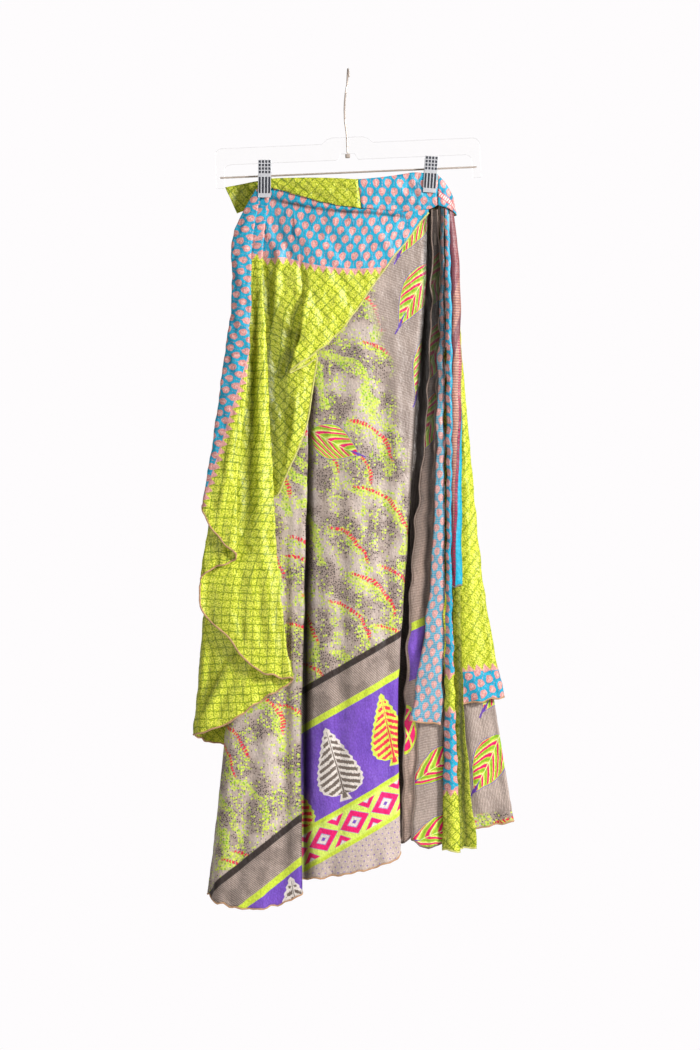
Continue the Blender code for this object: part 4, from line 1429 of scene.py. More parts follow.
TAN, OLIVE, SLATE, BROWN = (Thread("overlock_" + name, code) for name, code in (
    ("tan", "CFA077"), ("lime", "DAD67C"), ("slate", "8E8A86"), ("brown", "8C786C")))
UNDER_SEAM = Fold(150, 1100, (-116, -126, -138, -149, -164, -186), (0,) * 6)
OVER_SEAM = Fold(162, 888, (-123, -144, -156, -173, -192, -205), (0,) * 6)
FOLDS = {
    "underskirt_back": [seam_side(UNDER_SEAM, 1), *lines(150,
        (1092, -113, -120, -129, -140, -155, -175, 2.2, 6, 9, 13, 18, 22),
        (1068, -72, -78, -86, -94, -104, -114, 6.8, 10, 17, 23, 30, 36),
        (1056, -38, -44, -50, -56, -62, -64, 9.2, 11, 13, 16, 20, 25),
        (1048, -4, -5, -6, -8, -8, -8, 10.2, 13, 19, 25, 32, 38),
        (1036, 30, 32, 36, 40, 46, 50, 9.6, 11, 14, 17, 21, 26),
        (1024, 66, 72, 80, 90, 100, 108, 7.3, 10, 16, 22, 28, 34),
        (1014, 100, 112, 126, 142, 158, 172, 3.7, 6, 11, 15, 19, 24),
        (1006, 116, 133, 149, 167, 192, 221, 2.2, 4.5, 7, 9, 12, 16),
        (1005, 116, 133, 149, 167, 193, 223, -2.2, 0, 0, 1, 3, 6),
        (1014, 98, 110, 122, 135, 152, 180, -2.2, 0, 0.5, 2, 5, 9),
        (1018, 88, 98, 102, 108, 116, 130, -2.2, 0.5, 1.5, 4, 8, 12),
        (1026, 78, 84, 84, 84, 84, 90, -2.2, 1, 2, 5, 8, 11))],
    "underskirt_front": [seam_side(UNDER_SEAM, -1), *lines(150,
        (1108, -113, -121, -131, -142, -158, -178, 0, -6, -9, -14, -20, -30),
        (1117, -98, -104, -113, -120, -128, -132, 0, -9, -13, -19, -27, -42),
        (1112, -80, -80, -80, -84, -90, -94, 0, -12.5, -13.5, -18, -25, -38),
        (1096, -63, -58, -52, -57, -63, -59, 0, -15, -16.5, -21, -28, -41),
        (1088, -59, -55, -54, -59, -65, -62, 0, -12.8, -13, -17, -23, -34),
        (1082, -53, -52, -66, -77, -86, -86, 0, -10.6, -12.5, -15.5, -21, -31),
        (1080, -49, -49, -65, -76, -85, -85, 0, -8.8, -8.5, -10, -14, -23),
        (1077, -36, -36, -34, -36, -38, -40, 0, -10.5, -11.5, -14, -19, -27),
        (1070, -5, 2, 6, 6, 3, 0, 0, -15, -17, -22, -28, -34),
        (1062, 45, 48, 48, 44, 38, 38, 0, -14, -18, -23, -28, -33),
        (1050, 98, 99, 86, 76, 63, 68, 0, -9, -13, -17, -20, -24),
        (1046, 105, 105, 92, 80, 68, 73, 0, -6, -8, -12, -15, -19),
        (1041, 109, 103, 88, 75, 62, 66, 0, -3, -2, -4, -6, -10))],
    "overskirt_back": [seam_side(OVER_SEAM, 1), *lines(152,
        (902, -117, -137, -148, -162, -178, -190, 4.4, 8, 16, 23, 30, 36),
        (908, -74, -86, -96, -106, -116, -124, 8.9, 14, 28, 37, 46, 54),
        (896, -40, -48, -56, -64, -70, -76, 11.4, 15, 22, 27, 33, 40),
        (888, -6, -8, -10, -12, -14, -16, 12.4, 17, 29, 39, 48, 56),
        (874, 28, 29, 30, 32, 34, 36, 12, 15, 21, 26, 33, 40),
        (862, 64, 70, 78, 86, 94, 102, 9.7, 14, 26, 35, 44, 52),
        (850, 100, 114, 126, 140, 154, 166, 6, 10, 18, 24, 30, 36),
        (840, 121, 141, 153, 165, 181, 208, 4.4, 7, 10, 13, 16, 19),
        (838, 121, 142, 154, 166, 182, 209, -4.4, -4, -4, -4, -4, -4),
        (845, 116, 132, 140, 144, 152, 170, -4.4, -5, -6, -6, -6, -5),
        (850, 111, 121, 125, 121, 121, 131, -4.4, -5, -5.5, -6, -5, -4))],
    "overskirt_front": lines(152,
        (566, -112, -124, -128, -128, -124, -119, 0, -9.4, -10.5, -12, -14.5, -17),
        (573, -104, -112, -112, -110, -103, -95, 0, -10.5, -12.5, -15, -18, -21),
        (547, -95, -100, -98, -95, -90, -83, 0, -11.5, -15, -18, -21, -23),
        (515, -87, -90, -87, -83, -77, -69, 0, -13, -16, -19, -21, -22),
        (475, -80, -80, -77, -72, -64, -53, 0, -14, -17, -19, -20, -21),
        (432, -74, -72, -70, -67, -59, -47, 0, -14.5, -17, -18.5, -19, -19.6),
        (385, -69, -67, -64, -61, -53, -40, 0, -15, -17, -18.1, -17.8, -18),
        (387, -65, -63.5, -60.5, -58, -53, -39, 0, -15.2, -17.8, -20.9, -22.1, -23.4),
        (407, -61, -60, -57.5, -56, -61, -76, 0, -15.4, -18.6, -23.3, -25.3, -27),
        (404, -57, -56.5, -54.5, -53, -60, -77, 0, -15.6, -19.4, -25.5, -28.4, -31),
        (391, -48, -48, -46, -45, -50, -58, 0, -15.8, -19.4, -25.5, -29.4, -32),
        (376, -38, -36, -34, -33, -35, -37, 0, -16, -19, -23.5, -27, -29),
        (358, -22, -21, -20, -19, -18, -16, 0, -17, -19, -22, -24.5, -26),
        (341, -8, -7, -6, -5, -3, -1, 0, -17, -19, -21, -22.5, -23.5),
        (306, 16, 17, 18, 20, 21, 23, 0, -17, -18, -19.5, -21, -21.5),
        (266, 45, 46, 47, 48, 49, 50, 0, -15.7, -16.2, -17, -18, -18.5),
        (213, 84, 85, 86, 88, 90, 92, 0, -11.4, -11.4, -11.2, -11, -11),
        (190, 108, 108, 108, 108, 108, 108, 0, -9, -9, -9, -9, -9)),
    "overskirt_side": [*lines(162,
        (570, -122.5, -150, -152, -162, -174, -187, -13.9, -15.5, -20, -25, -30, -37),
        (586, -122.5, -153, -154, -165, -178, -194, -16.8, -20, -27, -33, -40, -46),
        (626, -118, -140, -142, -149, -158, -170, -18, -28, -36, -42, -50, -55),
        (648, -114.5, -126, -128, -133, -144, -144, -18, -27, -35, -42, -50, -55),
        (654, -114.5, -127, -129, -135, -146, -146, -15.8, -22, -29, -36, -43, -48),
        (663, -116.5, -135, -139, -150, -163, -173, -15.8, -20, -26, -33, -40, -45),
        (677, -118.6, -142, -146, -157, -176, -197, -15.8, -19, -24, -29, -36, -41),
        (724, -118.6, -142, -147, -158, -178, -196, -13.7, -16, -19, -24, -31, -36),
        (752, -114, -132, -137, -144, -153, -160, -13.7, -17, -22, -27, -34, -40),
        (790, -109, -123, -125, -128, -131, -133, -13.7, -18, -24, -31, -38, -44),
        (806, -106, -117, -116, -115, -111, -106, -13.7, -19, -26, -33, -40, -46),
        (811, -103.5, -113, -107, -100, -91, -74, -13.7, -18.5, -25, -30, -36, -41),
        (818, -103.5, -114, -109, -102, -93, -76, -11.6, -14.5, -19, -24, -30, -34),
        (842, -109, -126, -125, -124, -121, -118, -11.6, -14, -17, -21, -28, -33),
        (872, -114, -135, -142, -150, -156, -158, -11.6, -13, -16, -20, -26, -32),
        (886, -119, -141, -152, -169, -189, -200, -8.5, -11, -13, -15, -18, -22)),
        seam_side(OVER_SEAM, -1)],
    "underskirt_fold_plain": lines(187,
        (1032, 112.5, 112, 104, 87, 77, 73, -6.2, -5, -4, -4.4, -4.8, -5.6),
        (1024, 116, 118, 113, 97, 89, 84, -6.2, -6.4, -6.8, -7.4, -8.4, -9.4),
        (1012, 119.6, 126, 126, 118, 112, 106, -6.2, -7, -7.6, -8.6, -10, -11)),
    "underskirt_fold_leaf": lines(172,
        (1028, 122.5, 125, 117, 112, 97, 85, -5.9, -9.6, -10.6, -10.8, -11, -12),
        (1040, 125.4, 128, 123, 120, 112, 106, -5.9, -11.4, -12.6, -13, -14, -16),
        (1031, 128, 131, 129, 128, 127, 129, -5.7, -11, -11.8, -12, -12.4, -13)),
    "overskirt_fold_border": lines(172,
        (868, 124.3, 124, 120, 117, 107, 83, -8.1, -13, -14, -15.2, -16, -18),
        (871, 126.1, 126.5, 125, 124, 119, 104, -8.1, -14.6, -16, -17.6, -19, -21),
        (873, 127.9, 129, 128.5, 129, 129, 125, -7.9, -14, -15, -16, -17, -18)),
    "underskirt_fold_border": lines(172,
        (1039, 129.6, 130.8, 131.5, 131.5, 129, 126, -7.3, -18, -20, -21, -21, -21),
        (1042, 131.8, 134, 136.5, 135, 136, 138, -6.4, -20, -22, -23, -24, -25),
        (1041, 134, 138, 139, 138, 143, 150, -5.4, -19, -20, -21, -21, -21)),
    "underskirt_pleat_green": lines(176,
        (1038, 135.8, 138, 139, 139, 139, 140, -3.2, -8.4, -9.4, -10, -12, -15),
        (1041, 137, 141, 143.5, 145, 147, 147, -2.7, -9.4, -10.6, -12.4, -15, -19),
        (1040, 138.2, 144.5, 147.6, 149.6, 151.6, 153, -2.2, -9.2, -10.6, -12.2, -14, -17),
        (1036, 139.4, 145, 148, 150, 152, 154.4, -1.7, -7, -7.4, -8.2, -9.4, -12),
        (1039, 140.4, 147.5, 150.6, 152.6, 155, 172, -1.2, -6.2, -7.4, -8.2, -10, -15)),
    "tie_fall": lines(186,
        (688, 136, 136, 135, 133, 133, 136, -8, -12.6, -14, -14, -14, -14),
        (690, 138.4, 142.5, 142, 142, 142, 144, -6.2, -15.4, -18, -18, -18, -18),
        (688, 140.9, 149, 151, 152, 152, 152, -3.8, -10.6, -12.6, -13, -13.2, -13.4)),
    "waistband_back": lines(None,
        (156, 191, -164, -148, 6, 6), (151.5, 186.5, -142, -138, 8.8, 8.8),
        (147, 183, -121, -121, 7.8, 8.4), (146, 183, -98, -98, 8.8, 9.4),
        (145, 184, -60, -60, 13.2, 15.2), (144, 185, -20, -20, 16, 18), (143.5, 185, 20, 20, 16, 18),
        (142, 185, 60, 60, 13.2, 15.2), (141, 184, 98, 98, 8.8, 9.4), (142, 183, 121, 121, 7.8, 8.2)),
    "waistband_front_green": lines(None,
        (147, 158.5, -118, -118, -11.4, -11.4), (146.5, 159, -100, -100, -12.2, -12.2),
        (146, 170, -64, -64, -16.4, -16.4), (146.5, 179, -34, -34, -19, -19),
        (147.5, 184, -8, -8, -20.4, -20.4), (149, 187, 13.4, 18.4, -20.4, -20.4)),
    "waistband_front_blue": lines(None,
        (149, 187, 13.8, 18.8, -20.4, -20.4), (146, 189, 44, 44, -18.8, -18.8),
        (142, 191, 70, 70, -16.2, -16.2), (138.5, 190, 88, 88, -13.8, -13.8),
        (139, 189, 99, 99, -11.7, -11.7), (140, 187, 110, 110, -11, -11), (141, 182, 120, 120, -11, -11)),
    "tie_loop": lines(None,
        (142, 182, 120.6, 120.6, -11, -11.5), (149, 184, 128, 128.6, -10, -12.6),
        (160, 189, 136, 139.5, -6.5, -9.2), (172, 194, 142, 146.5, -1, -1.5), (168, 195, 140, 143, 5, 5),
        (155, 190, 131, 131, 8, 8), (145, 184, 121.4, 121.4, 7.8, 8.2)),
}
# A crease's tenth number, dark, lays painted shade along it, in gaps, valleys and under the waistband; a
# minus one lays painted light.
CREASES = {
    "underskirt_back": (
        (110, 20, 88, 610, 0, 40, 0, 9, 99, 0.96), (86, 640, 82, 1040, 0, 4, 0, 9, 99, 0.7),
        (-100, 860, -118, 1060, 0, 8, 4, 0, 8, 0.2), (-52, 880, -60, 1056, 0, 7, -4, 0, 8, 0.3),
        (-2, 900, -4, 1046, 0, 9, 4, 0, 8, 0.2), (48, 860, 58, 1030, 0, 7, -4, 0, 8, 0.3),
        (104, 850, 120, 1018, 0, 9, 4, 0, 8, 0.2), (100, 330, 97, 560, 0, 9, -5, 10, 12),
        (93, 560, 88, 1000, 0, 10, -9, 10, 12), (160, 800, 180, 1000, 4, 9, 4, 9, 11),
        (140, 760, 150, 990, 0, 8, -4, 9, 11), (195, 700, 205, 1000, 0, 8, -3, 9, 11)),
    "underskirt_front": (
        (112, 60, 76, 700, -4, 13, 0, 11, 99, 0.92), (84, 180, 68, 600, 0, 30, 0, 8, 11, 0.2),
        (-52, 420, -57, 1090, 3, 6, -13, 7, 9, 0.95), (-48, 420, -50, 1090, 3, 13, 0, 7, 9, 0.4),
        (-60, 560, -64, 1080, 0, 4, 2.4, 1, 5), (-95, 700, -108, 1100, 4, 12, 4, 1, 4),
        (-125, 900, -150, 1100, 0, 10, -5, 0, 4), (-72, 560, -70, 1080, 0, 7, 3, 1, 4),
        (-82, 640, -84, 1080, 0, 6, -3, 1, 4), (22, 300, 12, 800, 8, 15, 4, 8, 11),
        (46, 420, 50, 960, -6, 12, -4, 8, 11), (66, 330, 58, 900, 0, 8, 2.5, 8, 11),
        (-22, 480, -24, 980, 5, 9, 2.5, 8, 11), (-6, 640, -12, 1040, 0, 9, -3, 8, 11),
        (5, 560, 60, 640, 10, 6, -1.6, 8, 11), (-30, 700, 50, 770, 10, 6, 1.6, 8, 11)),
    "overskirt_back": (
        (116, 60, 124, 360, 0, 10, 0, 9, 11, 0.96), (-96, 170, -120, 640, 6, 9, 5, 0, 4, 0.3),
        (-60, 165, -70, 420, -4, 6, -2.5, 0, 8, 0.3), (-30, 300, -44, 880, 5, 12, 6, 0, 8, 0.3),
        (-4, 172, -8, 520, 3, 6, -2.5, 0, 8, 0.3), (34, 170, 40, 760, -6, 9, 5.5, 0, 8, 0.3),
        (66, 210, 92, 840, 4, 8, -3.5, 0, 8, 0.25), (104, 180, 136, 700, -4, 8, 5, 0, 8, 0.3),
        (20, 600, 28, 880, 0, 9, -4, 0, 8, 0.25), (-80, 560, -104, 890, 3, 8, -3.5, 0, 8, 0.25),
        (150, 300, 168, 820, 0, 6, 2.5, 9, 11), (160, 420, 190, 830, 4, 6, -2.5, 9, 11)),
    "overskirt_front": (
        (-106, 165, -40, 182, 2, 3.4, 3), (-40, 182, 30, 190, 2, 3.4, 2.6),
        (30, 190, 96, 189, 0, 3.4, 2.2), (-104, 173, -36, 188, 1, 2.4, -0.8, 0, 99, 0.85),
        (-36, 188, 30, 193, 1, 2.4, -0.8, 0, 99, 0.8), (30, 193, 84, 199, 0, 2.2, -0.6, 0, 99, 0.7),
        (-112, 184, -82, 268, 5, 5, 3.2, 0, 9), (-84, 180, -42, 246, 6, 7, 3, 5, 13),
        (-98, 184, -64, 262, 5, 4, -1.2, 0, 99, 0.35), (-104, 250, -94, 352, 0, 6, -1, 0, 6, 0.4),
        (-110, 280, -97, 560, 0, 9, -2, 0, 8, 0.62), (-120, 190, -116, 300, 0, 4, -1, 0, 4, 0.35),
        (-86, 346, -64, 360, 2, 7, -1.5, 0, 99, 0.5), (-82, 372, -70, 392, 0, 6, -1, 0, 99, 0.45),
        (-84, 330, -92, 540, 0, 17, 0, 0, 9, 0.45), (-52, 372, -60, 400, 0, 4, 2, 2, 12),
        (-112, 250, -101, 350, 0, 4, -3, 0, 5), (-90, 240, -99, 345, 0, 4.5, 4.5, 0, 8),
        (-121, 200, -116, 330, 0, 3.5, 3, 0, 4), (-57, 282, -32, 336, 0, 8, -2),
        (-70, 262, -60, 330, 0, 6, 3, 2, 10), (-66, 310, -86, 392, 3, 6, -3.5, 2, 8),
        (-48, 300, -73, 385, 3, 5, 4, 2, 10), (-20, 200, 20, 262, -4, 8, 2),
        (10, 200, 50, 236, -4, 6, 2.2), (-60, 215, 10, 300, -8, 6, 2.2), (-34, 262, -6, 330, 0, 7, 2.6),
        (-97, 368, -86, 445, 0, 8, -4, 0, 6), (-90, 441, -89, 520, -4, 8, -4, 0, 6),
        (-70, 430, -78, 510, -4, 5, 4.5, 2, 6), (-108, 360, -104, 520, 0, 6, 4, 0, 4)),
    "overskirt_side": (
        (-146, 461, -169, 608, 0, 4.5, 3, 1, 3), (-124, 290, -134, 640, 0, 8, -5, 7, 11, 0.6),
        (-176, 690, -166, 760, 0, 20, 0, 5, 10, 0.3), (-112, 330, -108, 600, 0, 4, 2.5, 7, 12),
        (-96, 700, -88, 790, 0, 5, -2, 9, 12, 0.3), (-119, 330, -113, 660, 0, 5, 3.5, 7, 11),
        (-142, 620, -114, 642, 2, 3, 2.2, 7, 11), (-140, 660, -136, 770, 3, 8, -4, 7, 11),
        (-106, 660, -96, 790, 0, 7, 3.5, 7, 11), (-119, 680, -112, 780, 0, 5, -3, 7, 11),
        (-133, 738, -142, 778, -3, 2.6, 2.2, 7, 11), (-149, 781, -193, 861, 0, 5, -7, 12, 15, 0.5),
        (-181, 755, -190, 842, 0, 6, 4, 12, 16), (-150, 800, -170, 850, 0, 6, 3, 12, 15),
        (-128, 790, -140, 850, 0, 6, -3, 12, 15), (-172, 630, -182, 670, 0, 5, -3, 3, 7)),
    "underskirt_fold_plain": (
        # The first crease here is painted shade; the second's minus dark lightens the plain fold's lower
        # part as painted light.
        (116, 20, 108, 540, 0, 60, 0, 0, 99, 0.92), (76, 700, 78, 1060, 0, 18, 0, 0, 99, -0.7),
        (114, 430, 94, 1020, 0, 4, 0, 0, 99, 0.8), (84, 620, 80, 1020, 0, 3, -1, 0, 99, 0.4)),
    "underskirt_fold_leaf": (
        (127, 40, 120, 680, 0, 20, 0, 0, 99, 0.85), (118, 640, 106, 860, 0, 6, 0, 0, 99, 0.6)),
    "overskirt_fold_border": (
        (127, 20, 122, 420, 0, 14, 0, 0, 99, 0.85),),
    "underskirt_pleat_green": (
        (148, 760, 158, 1060, 0, 4.5, 0, 0, 99, 0.85),),
    "waistband_back": (
        (-64, 150, -18, 178, 2, 3, 1.5, 0, 99, 0.2), (18, 148, 62, 178, 3, 3, -1.4, 0, 99, 0.25)),
    "waistband_front_green": (
        (-98, 150, -60, 168, 2, 2.6, 1.6, 0, 99, 0.2), (-86, 148, -30, 172, 2, 3, -1.4, 0, 99, 0.25),
        (-50, 150, 6, 180, 3, 3, 1.4), (-20, 150, 16, 168, 1, 3, -1.2, 0, 99, 0.2)),
    "waistband_front_blue": (
        (84, 142, 104, 176, 3, 3, 2.2, 0, 99, 0.2), (94, 144, 88, 184, -2, 2.6, -1.6, 0, 99, 0.45),
        (60, 150, 98, 184, 3, 3.4, 1.8), (28, 160, 78, 188, 2, 3, -1.2, 0, 99, 0.25)),
}


def skirt_sheets() -> list[Sheet]:
    """Every cut piece of the skirt, from the inside out.

    Returns:
        The sheets.
    """
    net = LatticeSilk("lattice_silk", "green_lattice")
    # The lining is darkened, partly the duller reverse of the print and partly painted shade for the
    # shaded gaps where it shows: a darker cloud-taupe ground, faded to 0.62.
    lining = StippleSilk("reverse_silk", "grey_print", ground=Ink.TAUPE_CLOUD, fade=0.62)
    left, right, back = (("waistband_front_green_silk",), ("waistband_front_blue_silk",),
                         ("waistband_back_silk",))
    pleat = {"crinkle": 0.3, "rests_on": right}
    strip = {"rows": 16, "calm_top": 6, "hem_wave": 0.3, "hem_reach": 10}
    band = {**strip, "crinkle": 0.9}
    # Each sheet's bands of painted shade darken the colour between fold lines: the deep fold and turned
    # edge of the underskirt front, the shaded strips and pleats at the right, and the shaded ends of the
    # waistbands.
    return [
        Sheet("underskirt_back",
              StippleSilk("stipple_back_silk", "grey_print", bare=96, bare_lean=0, pin_tilt=80,
                          foot=994, leaves=((252, 929, 231), (205, 822, 231))),
              11, lining, TAN, rests_on=back, outward=1, anchor=4),
        Sheet("underskirt_front",
              PalluSilk("pallu_silk", "grey_print", bare=-30, bare_lean=0.2, leaves=(
                  (92, 301, -60, 104), (94, 208, -60, 104), (-20.3, 498.4, 206.6, 76, 1, 45),
                  (106, 394, -69, 104), (114, 496, -72, 104))),
              21, lining, TAN, rests_on=left, waist=-3 * LAYER_PITCH, anchor=9, anchor_at=2,
              painted_shade_bands=((4, 7, 0.2), (12, 13, 0.12))),
        Sheet("overskirt_back",
              # ink 0.7 pales the lattice lines over the whole back piece as painted light, for its
              # brightly lit right side.
              HemBorderSilk("hem_border_silk", "green_lattice", bands=((802, 1200),), beyond=-100,
                            ink=0.7),
              31, None, TAN, rests_on=back, outward=1, anchor=4, crinkle=0.8),
        Sheet("overskirt_front", WaistBorderSilk("waist_border_silk", "green_lattice"),
              41, None, OLIVE, rests_on=left, waist=-4 * LAYER_PITCH, anchor=13, anchor_at=-5,
              rows=130, crinkle=0.7),
        Sheet("overskirt_side", SideBorderSilk("side_border_silk", "green_lattice"),
              51, LatticeSilk("lattice_silk_reverse", "green_lattice", fade=0.98, tilt=3), TAN,
              rests_on=left, anchor=2, crinkle=0.8, hem_wave=2.2),
        Sheet("underskirt_fold_plain",
              PleatSilk("pinstripe_silk", "grey_print", ground=Ink.UMBER, pin_tilt=4, leaves=(
                  (2, 282, -68, 100), (2, 376, -70, 100), (-1, 472, -70, 100))),
              61, None, BROWN, ("left_edge", "right_edge"), sway=1.6, sway_size=48, **pleat),
        Sheet("underskirt_fold_leaf",
              StippleSilk("leaf_fold_silk", "grey_print", pin_tilt=6, leaves=(
                  (11.5, 930.8, -37.3, 94, -0.75), (16.7, 1018.4, -22, 94, -0.75))),
              71, None, BROWN, ("left_edge",), sway=1.6, sway_size=44, **pleat),
        Sheet("overskirt_fold_border",
              DropSilk("faded_drop_silk", "blue_border", side=13.4, rise=10.2, length=11.2,
                       wash=0.3, tilt=8),
              81, None, TAN, sway=1, sway_size=52, **pleat),
        Sheet("underskirt_fold_border",
              HemBorderSilk("strip_border_silk", "green_lattice", bands=((100, 806), (857, 961))),
              91, None, OLIVE, sway=1, sway_size=46, painted_shade_bands=((0, 1, 0.6),), **pleat),
        Sheet("underskirt_pleat_green", net, 101, None, OLIVE, sway=0.8,
              painted_shade_bands=((0, 3, 0.5), (3, 4, 0.7)), **pleat),
        Sheet("tie_fall", TieSilk("tie_silk", "tie_stripe"), 111, None, SLATE,
              rests_on=("tie_loop_silk",), rows=90, crinkle=0.25, sway=0.8),
        Sheet("waistband_back", net, 121, rests_on=("hanger_rod",), outward=1, anchor=4,
              painted_shade_bands=((0, 2, 0.72),), **{**band, "rows": 14}),
        Sheet("waistband_front_green", net, 131, rests_on=("clip_left_jaw_front",), anchor=3,
              painted_shade_bands=((0, 5, 0.86),), **band),
        Sheet("waistband_front_blue", DropSilk("drop_silk", "blue_border"), 141,
              rests_on=("clip_right_jaw_front",), anchor=2, **band),
        Sheet("tie_loop", DropSilk("loop_silk", "blue_border", braid=135), 151, rests_on=right,
              **strip),
    ]


# ------------------------------------------------------------------ hanger, clips and label

CLIP_WIDTH, CLIP_WALL, CLIP_ROUND = 17.0, 1.3, 0.12
DIMPLES = 4
DIMPLE_RIM, DIMPLE_DEPTH = 0.7, 0.2
RIB_RIM, RIB_DEPTH = 0.75, 0.25
REACH = 0.1                                     # how far from its place an edge is looked for


def dress(frame: dict, made: bpy.types.Material, *nodes: str) -> None:
    """Give carried-over CAD nodes their finish.

    Args:
        made: The material.
        nodes: The nodes' names.
    """
    for node in nodes:
        thing = frame["nodes"][node]
        if not thing.material_slots:
            thing.data.materials.append(made)
        for slot in thing.material_slots:
            slot.material = made
        LOG.info("%s: dressed with %s", node, made.name)


def pick(plate: bpy.types.Object, kind: str, top: float, foot: float) -> None:
    """Select what lies between two drops, in edit mode.

    Args:
        plate: The piece in edit mode.
        kind: Either edges or faces.
        top: The upper drop.
        foot: The lower drop.
    """
    form = bmesh.from_edit_mesh(plate.data)
    bpy.context.tool_settings.mesh_select_mode = (False, kind == "edges", kind == "faces")
    for group in (form.faces, form.edges, form.verts):
        for part in group:
            part.select = False
    for part in getattr(form, kind):
        middle = sum((v.co for v in part.verts), Vector()) / len(part.verts)
        if -foot * MM <= middle.z <= -top * MM:
            part.select_set(True)
    form.select_flush_mode()
    bmesh.update_edit_mesh(plate.data)


@dataclass(frozen=True)
class ClipFace:
    """A clip's front jaw: a bent plate with square dimples above and ribs below.

    The profile lists drop and depth down its middle.
    """

    side: str
    centre: float
    lean: float
    profile: tuple[tuple[float, float], ...]

    def build(self, *finishes: bpy.types.Material) -> bpy.types.Object:
        """Shape the plate from one row of cells.

        Args:
            finishes: The plate's metal, and a darker copy of it in the pressed places as painted shade.

        Returns:
            The plate.
        """
        (top, depth), (foot, inner), *_, (rib_top, _), (rib_foot, _), _ = self.profile
        rise = (foot - top) / DIMPLES
        bpy.ops.object.select_all(action="DESELECT")
        bpy.ops.mesh.primitive_grid_add(
            x_subdivisions=DIMPLES, y_subdivisions=1, size=CLIP_WIDTH * MM,
            location=(self.centre * MM, depth * MM, -(top + rise / 2) * MM),
            rotation=(math.radians(90), 0, 0))
        plate = bpy.context.object
        plate.name = f"clip_{self.side}_face"
        bpy.ops.transform.resize(value=(1, 1, rise / CLIP_WIDTH))
        bpy.ops.object.transform_apply(location=True, rotation=True, scale=True)
        bpy.ops.object.mode_set(mode="EDIT")
        steps = [(rise, (inner - depth) / DIMPLES)] * (DIMPLES - 1)
        steps += [(b[0] - a[0], b[1] - a[1]) for a, b in zip(self.profile[1:], self.profile[2:])]
        low = top + rise
        for fall, forward in steps:
            pick(plate, "edges", low - REACH, low + REACH)
            bpy.ops.mesh.extrude_region_move(
                TRANSFORM_OT_translate={"value": (0, forward * MM, -fall * MM)})
            low += fall
        for finish in finishes:
            plate.data.materials.append(finish)
        for start, end, rim, sunk in ((top, foot, DIMPLE_RIM, DIMPLE_DEPTH),
                                      (rib_top, rib_foot, RIB_RIM, RIB_DEPTH)):
            pick(plate, "faces", start, end)
            bpy.ops.mesh.inset(thickness=rim * MM, depth=-sunk * MM, use_individual=True)
            plate.active_material_index = 1
            bpy.ops.object.material_slot_assign()
        bpy.ops.mesh.select_all(action="SELECT")
        bpy.ops.transform.rotate(value=-self.lean, orient_axis="Y",
                                 center_override=Vector((self.centre, 0, -foot)) * MM)
        bpy.ops.object.mode_set(mode="OBJECT")
        wall = plate.modifiers.new("wall", "SOLIDIFY")
        wall.thickness = CLIP_WALL * MM
        wall.offset = -1
        soft = plate.modifiers.new("round", "BEVEL")
        soft.width = CLIP_ROUND * MM
        soft.segments = 2
        for name in ("wall", "round"):
            bpy.ops.object.modifier_apply(modifier=name)
        bpy.ops.object.shade_smooth_by_angle(angle=math.radians(40))
        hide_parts(f"clip_{self.side}_jaw_front")
        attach(plate, "root")
        LOG.info("%s: pressed plate %.0f mm wide", plate.name, CLIP_WIDTH)
        return plate


CLIP_FACES = (
    ClipFace("left", -110.5, 0,
             ((121.5, -10.8), (140.5, -14.4), (144, -15.6), (168, -21.6), (173, -21.9))),
    ClipFace("right", 111, math.radians(4),
             ((116.5, -10.6), (135.5, -13.4), (139, -14), (160.5, -14.9), (165.5, -15.1))))


def dress_hanger(frame: dict) -> None:
    """Finish the hanger's and clips' carried-over nodes, and shape the clips' front jaws.
    """
    dress(frame, ClearPlastic().make(), "hanger_body")
    dress(frame, Metal("bright_wire", "CBBBAF", 0.4, 0.2).make(), "hanger_hook", "hanger_nut",
          "hanger_rod")
    plated = Metal("plated_steel", "E4E4E8", 0.26, 0.3).make()
    # A dark copy of the plated steel, laid in the dimples and ribs as painted shade.
    pressed = Metal("recess_shade_steel", "3E4048", 0.4, 0.3).make()
    dress(frame, plated, "clip_left_jaw_back", "clip_left_spring", "clip_right_jaw_back",
          "clip_right_spring")
    for face in CLIP_FACES:
        face.build(plated, pressed)


# ------------------------------------------------------------------ studio

LABEL_CODE = "4A4038"
PAPER = (0.991, 0.973, 0.982, 1)
ROOM_LIGHT, ROOM_STRENGTH = (1, 0.985, 0.975, 1), 0.2
MIDDLE = Vector((0, 0, -0.6))
DOME_RADIUS, FLOOR_RADIUS, FLOOR_HEIGHT = 9, 2.3, -1.95
CAMERA_PLACE, CAMERA_LENS = (0.0033425, -3.3147, -0.6083), 85
# each lamp's name, place in metres, side in metres and power in watts
LAMPS = (("key", (2.35, -1.9, 0.6), 0.7, 128), ("fill", (-1.8, -2.6, -0.2), 1.2, 18),
         ("rear", (0.6, 2.6, 0.8), 1.8, 40))


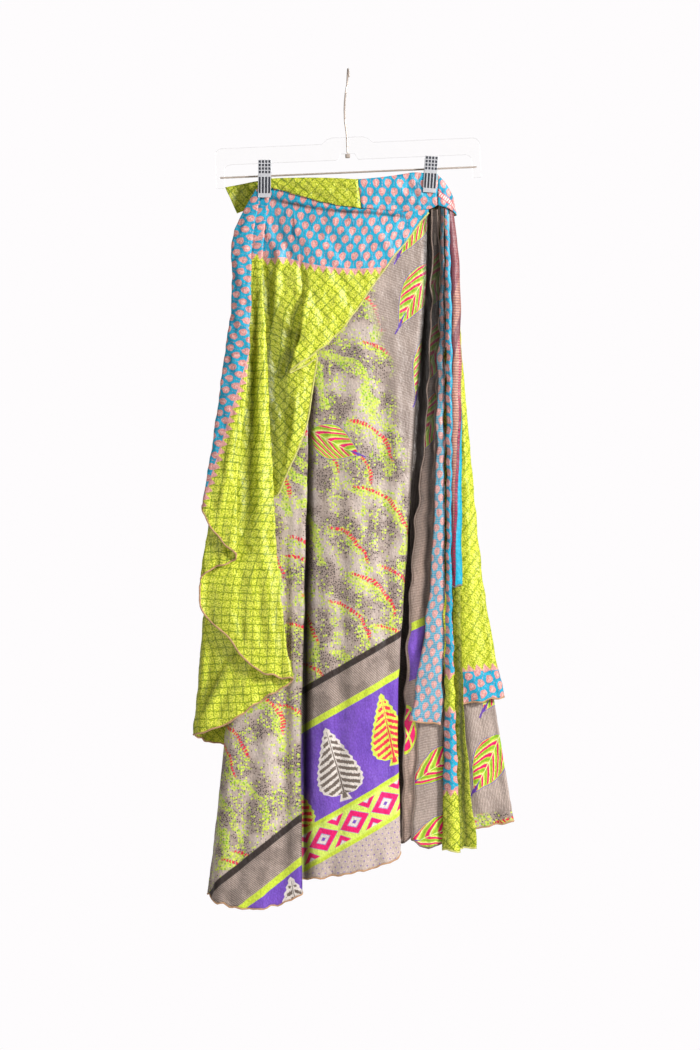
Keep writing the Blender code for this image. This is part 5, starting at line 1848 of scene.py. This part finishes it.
class Studio:
    """Floor, backdrop, soft lights and the camera."""

    def glow(self) -> None:
        """Set the room's soft light."""
        world = bpy.data.worlds.new("room")
        world.use_nodes = True
        feed(world.node_tree, world.node_tree.nodes["Background"], Color=ROOM_LIGHT,
             Strength=ROOM_STRENGTH)
        bpy.context.scene.world = world
        bpy.context.scene.view_settings.view_transform = "Standard"

    def backdrop(self) -> None:
        """Make the pale dome behind everything, and the floor."""
        paper, tree, _ = material("paper")
        tree.nodes.clear()
        add(tree, "OutputMaterial", Surface=add(tree, "Emission", Color=PAPER).outputs[0])
        bpy.ops.mesh.primitive_uv_sphere_add(segments=48, ring_count=24, radius=DOME_RADIUS,
                                             location=MIDDLE)
        dome = bpy.context.object
        dome.name = "backdrop"
        dome.data.materials.append(paper)
        dome.visible_diffuse = dome.visible_glossy = dome.visible_shadow = False
        bpy.ops.mesh.primitive_circle_add(vertices=96, radius=FLOOR_RADIUS, fill_type="NGON",
                                          location=(0, 0, FLOOR_HEIGHT))
        floor = bpy.context.object
        floor.name = "floor"
        paint, tree, shader = material("floor_paint")
        feed(tree, shader, Base_Color=PAPER, Roughness=0.9)
        floor.data.materials.append(paint)

    def hang(self, name: str, data: bpy.types.ID, place: tuple[float, ...]) -> bpy.types.Object:
        """Stand a light or camera in the scene.

        Args:
            name: Its name.
            data: The light or camera.
            place: Where it stands, in metres.

        Returns:
            The object.
        """
        made = bpy.data.objects.new(name, data)
        bpy.context.scene.collection.objects.link(made)
        made.location = place
        return made

    def lamp(self, name: str, place: tuple[float, ...], size: float, power: float) -> None:
        """Hang one soft square light, aimed at the skirt.

        Args:
            name: The light's name.
            place: Where it hangs, in metres.
            size: Its side in metres.
            power: Its power in watts.
        """
        data = bpy.data.lights.new(name, "AREA")
        data.shape, data.size, data.energy = "SQUARE", size, power
        aim = MIDDLE - Vector(place)
        self.hang(name, data, place).rotation_euler = aim.to_track_quat("-Z", "Y").to_euler()

    def camera(self) -> None:
        """Stand the camera straight in front."""
        data = bpy.data.cameras.new("camera")
        data.sensor_fit, data.sensor_height = "VERTICAL", 36
        data.lens, data.clip_end = CAMERA_LENS, 60
        camera = self.hang("camera", data, CAMERA_PLACE)
        camera.rotation_euler = (math.radians(90), 0, 0)
        bpy.context.scene.camera = camera

    def build(self) -> None:
        """Set everything up."""
        self.glow()
        self.backdrop()
        for lamp in LAMPS:
            self.lamp(*lamp)
        self.camera()


def main() -> None:
    """Build the dressed skirt."""
    logging.basicConfig(level=logging.INFO, format="%(message)s")
    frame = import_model()
    Studio().build()
    for sheet in skirt_sheets():
        sheet.build()
    dress_hanger(frame)
    dress(frame, Thread("label_tape", LABEL_CODE).make(), "label")


if __name__ == "__main__":
    main()
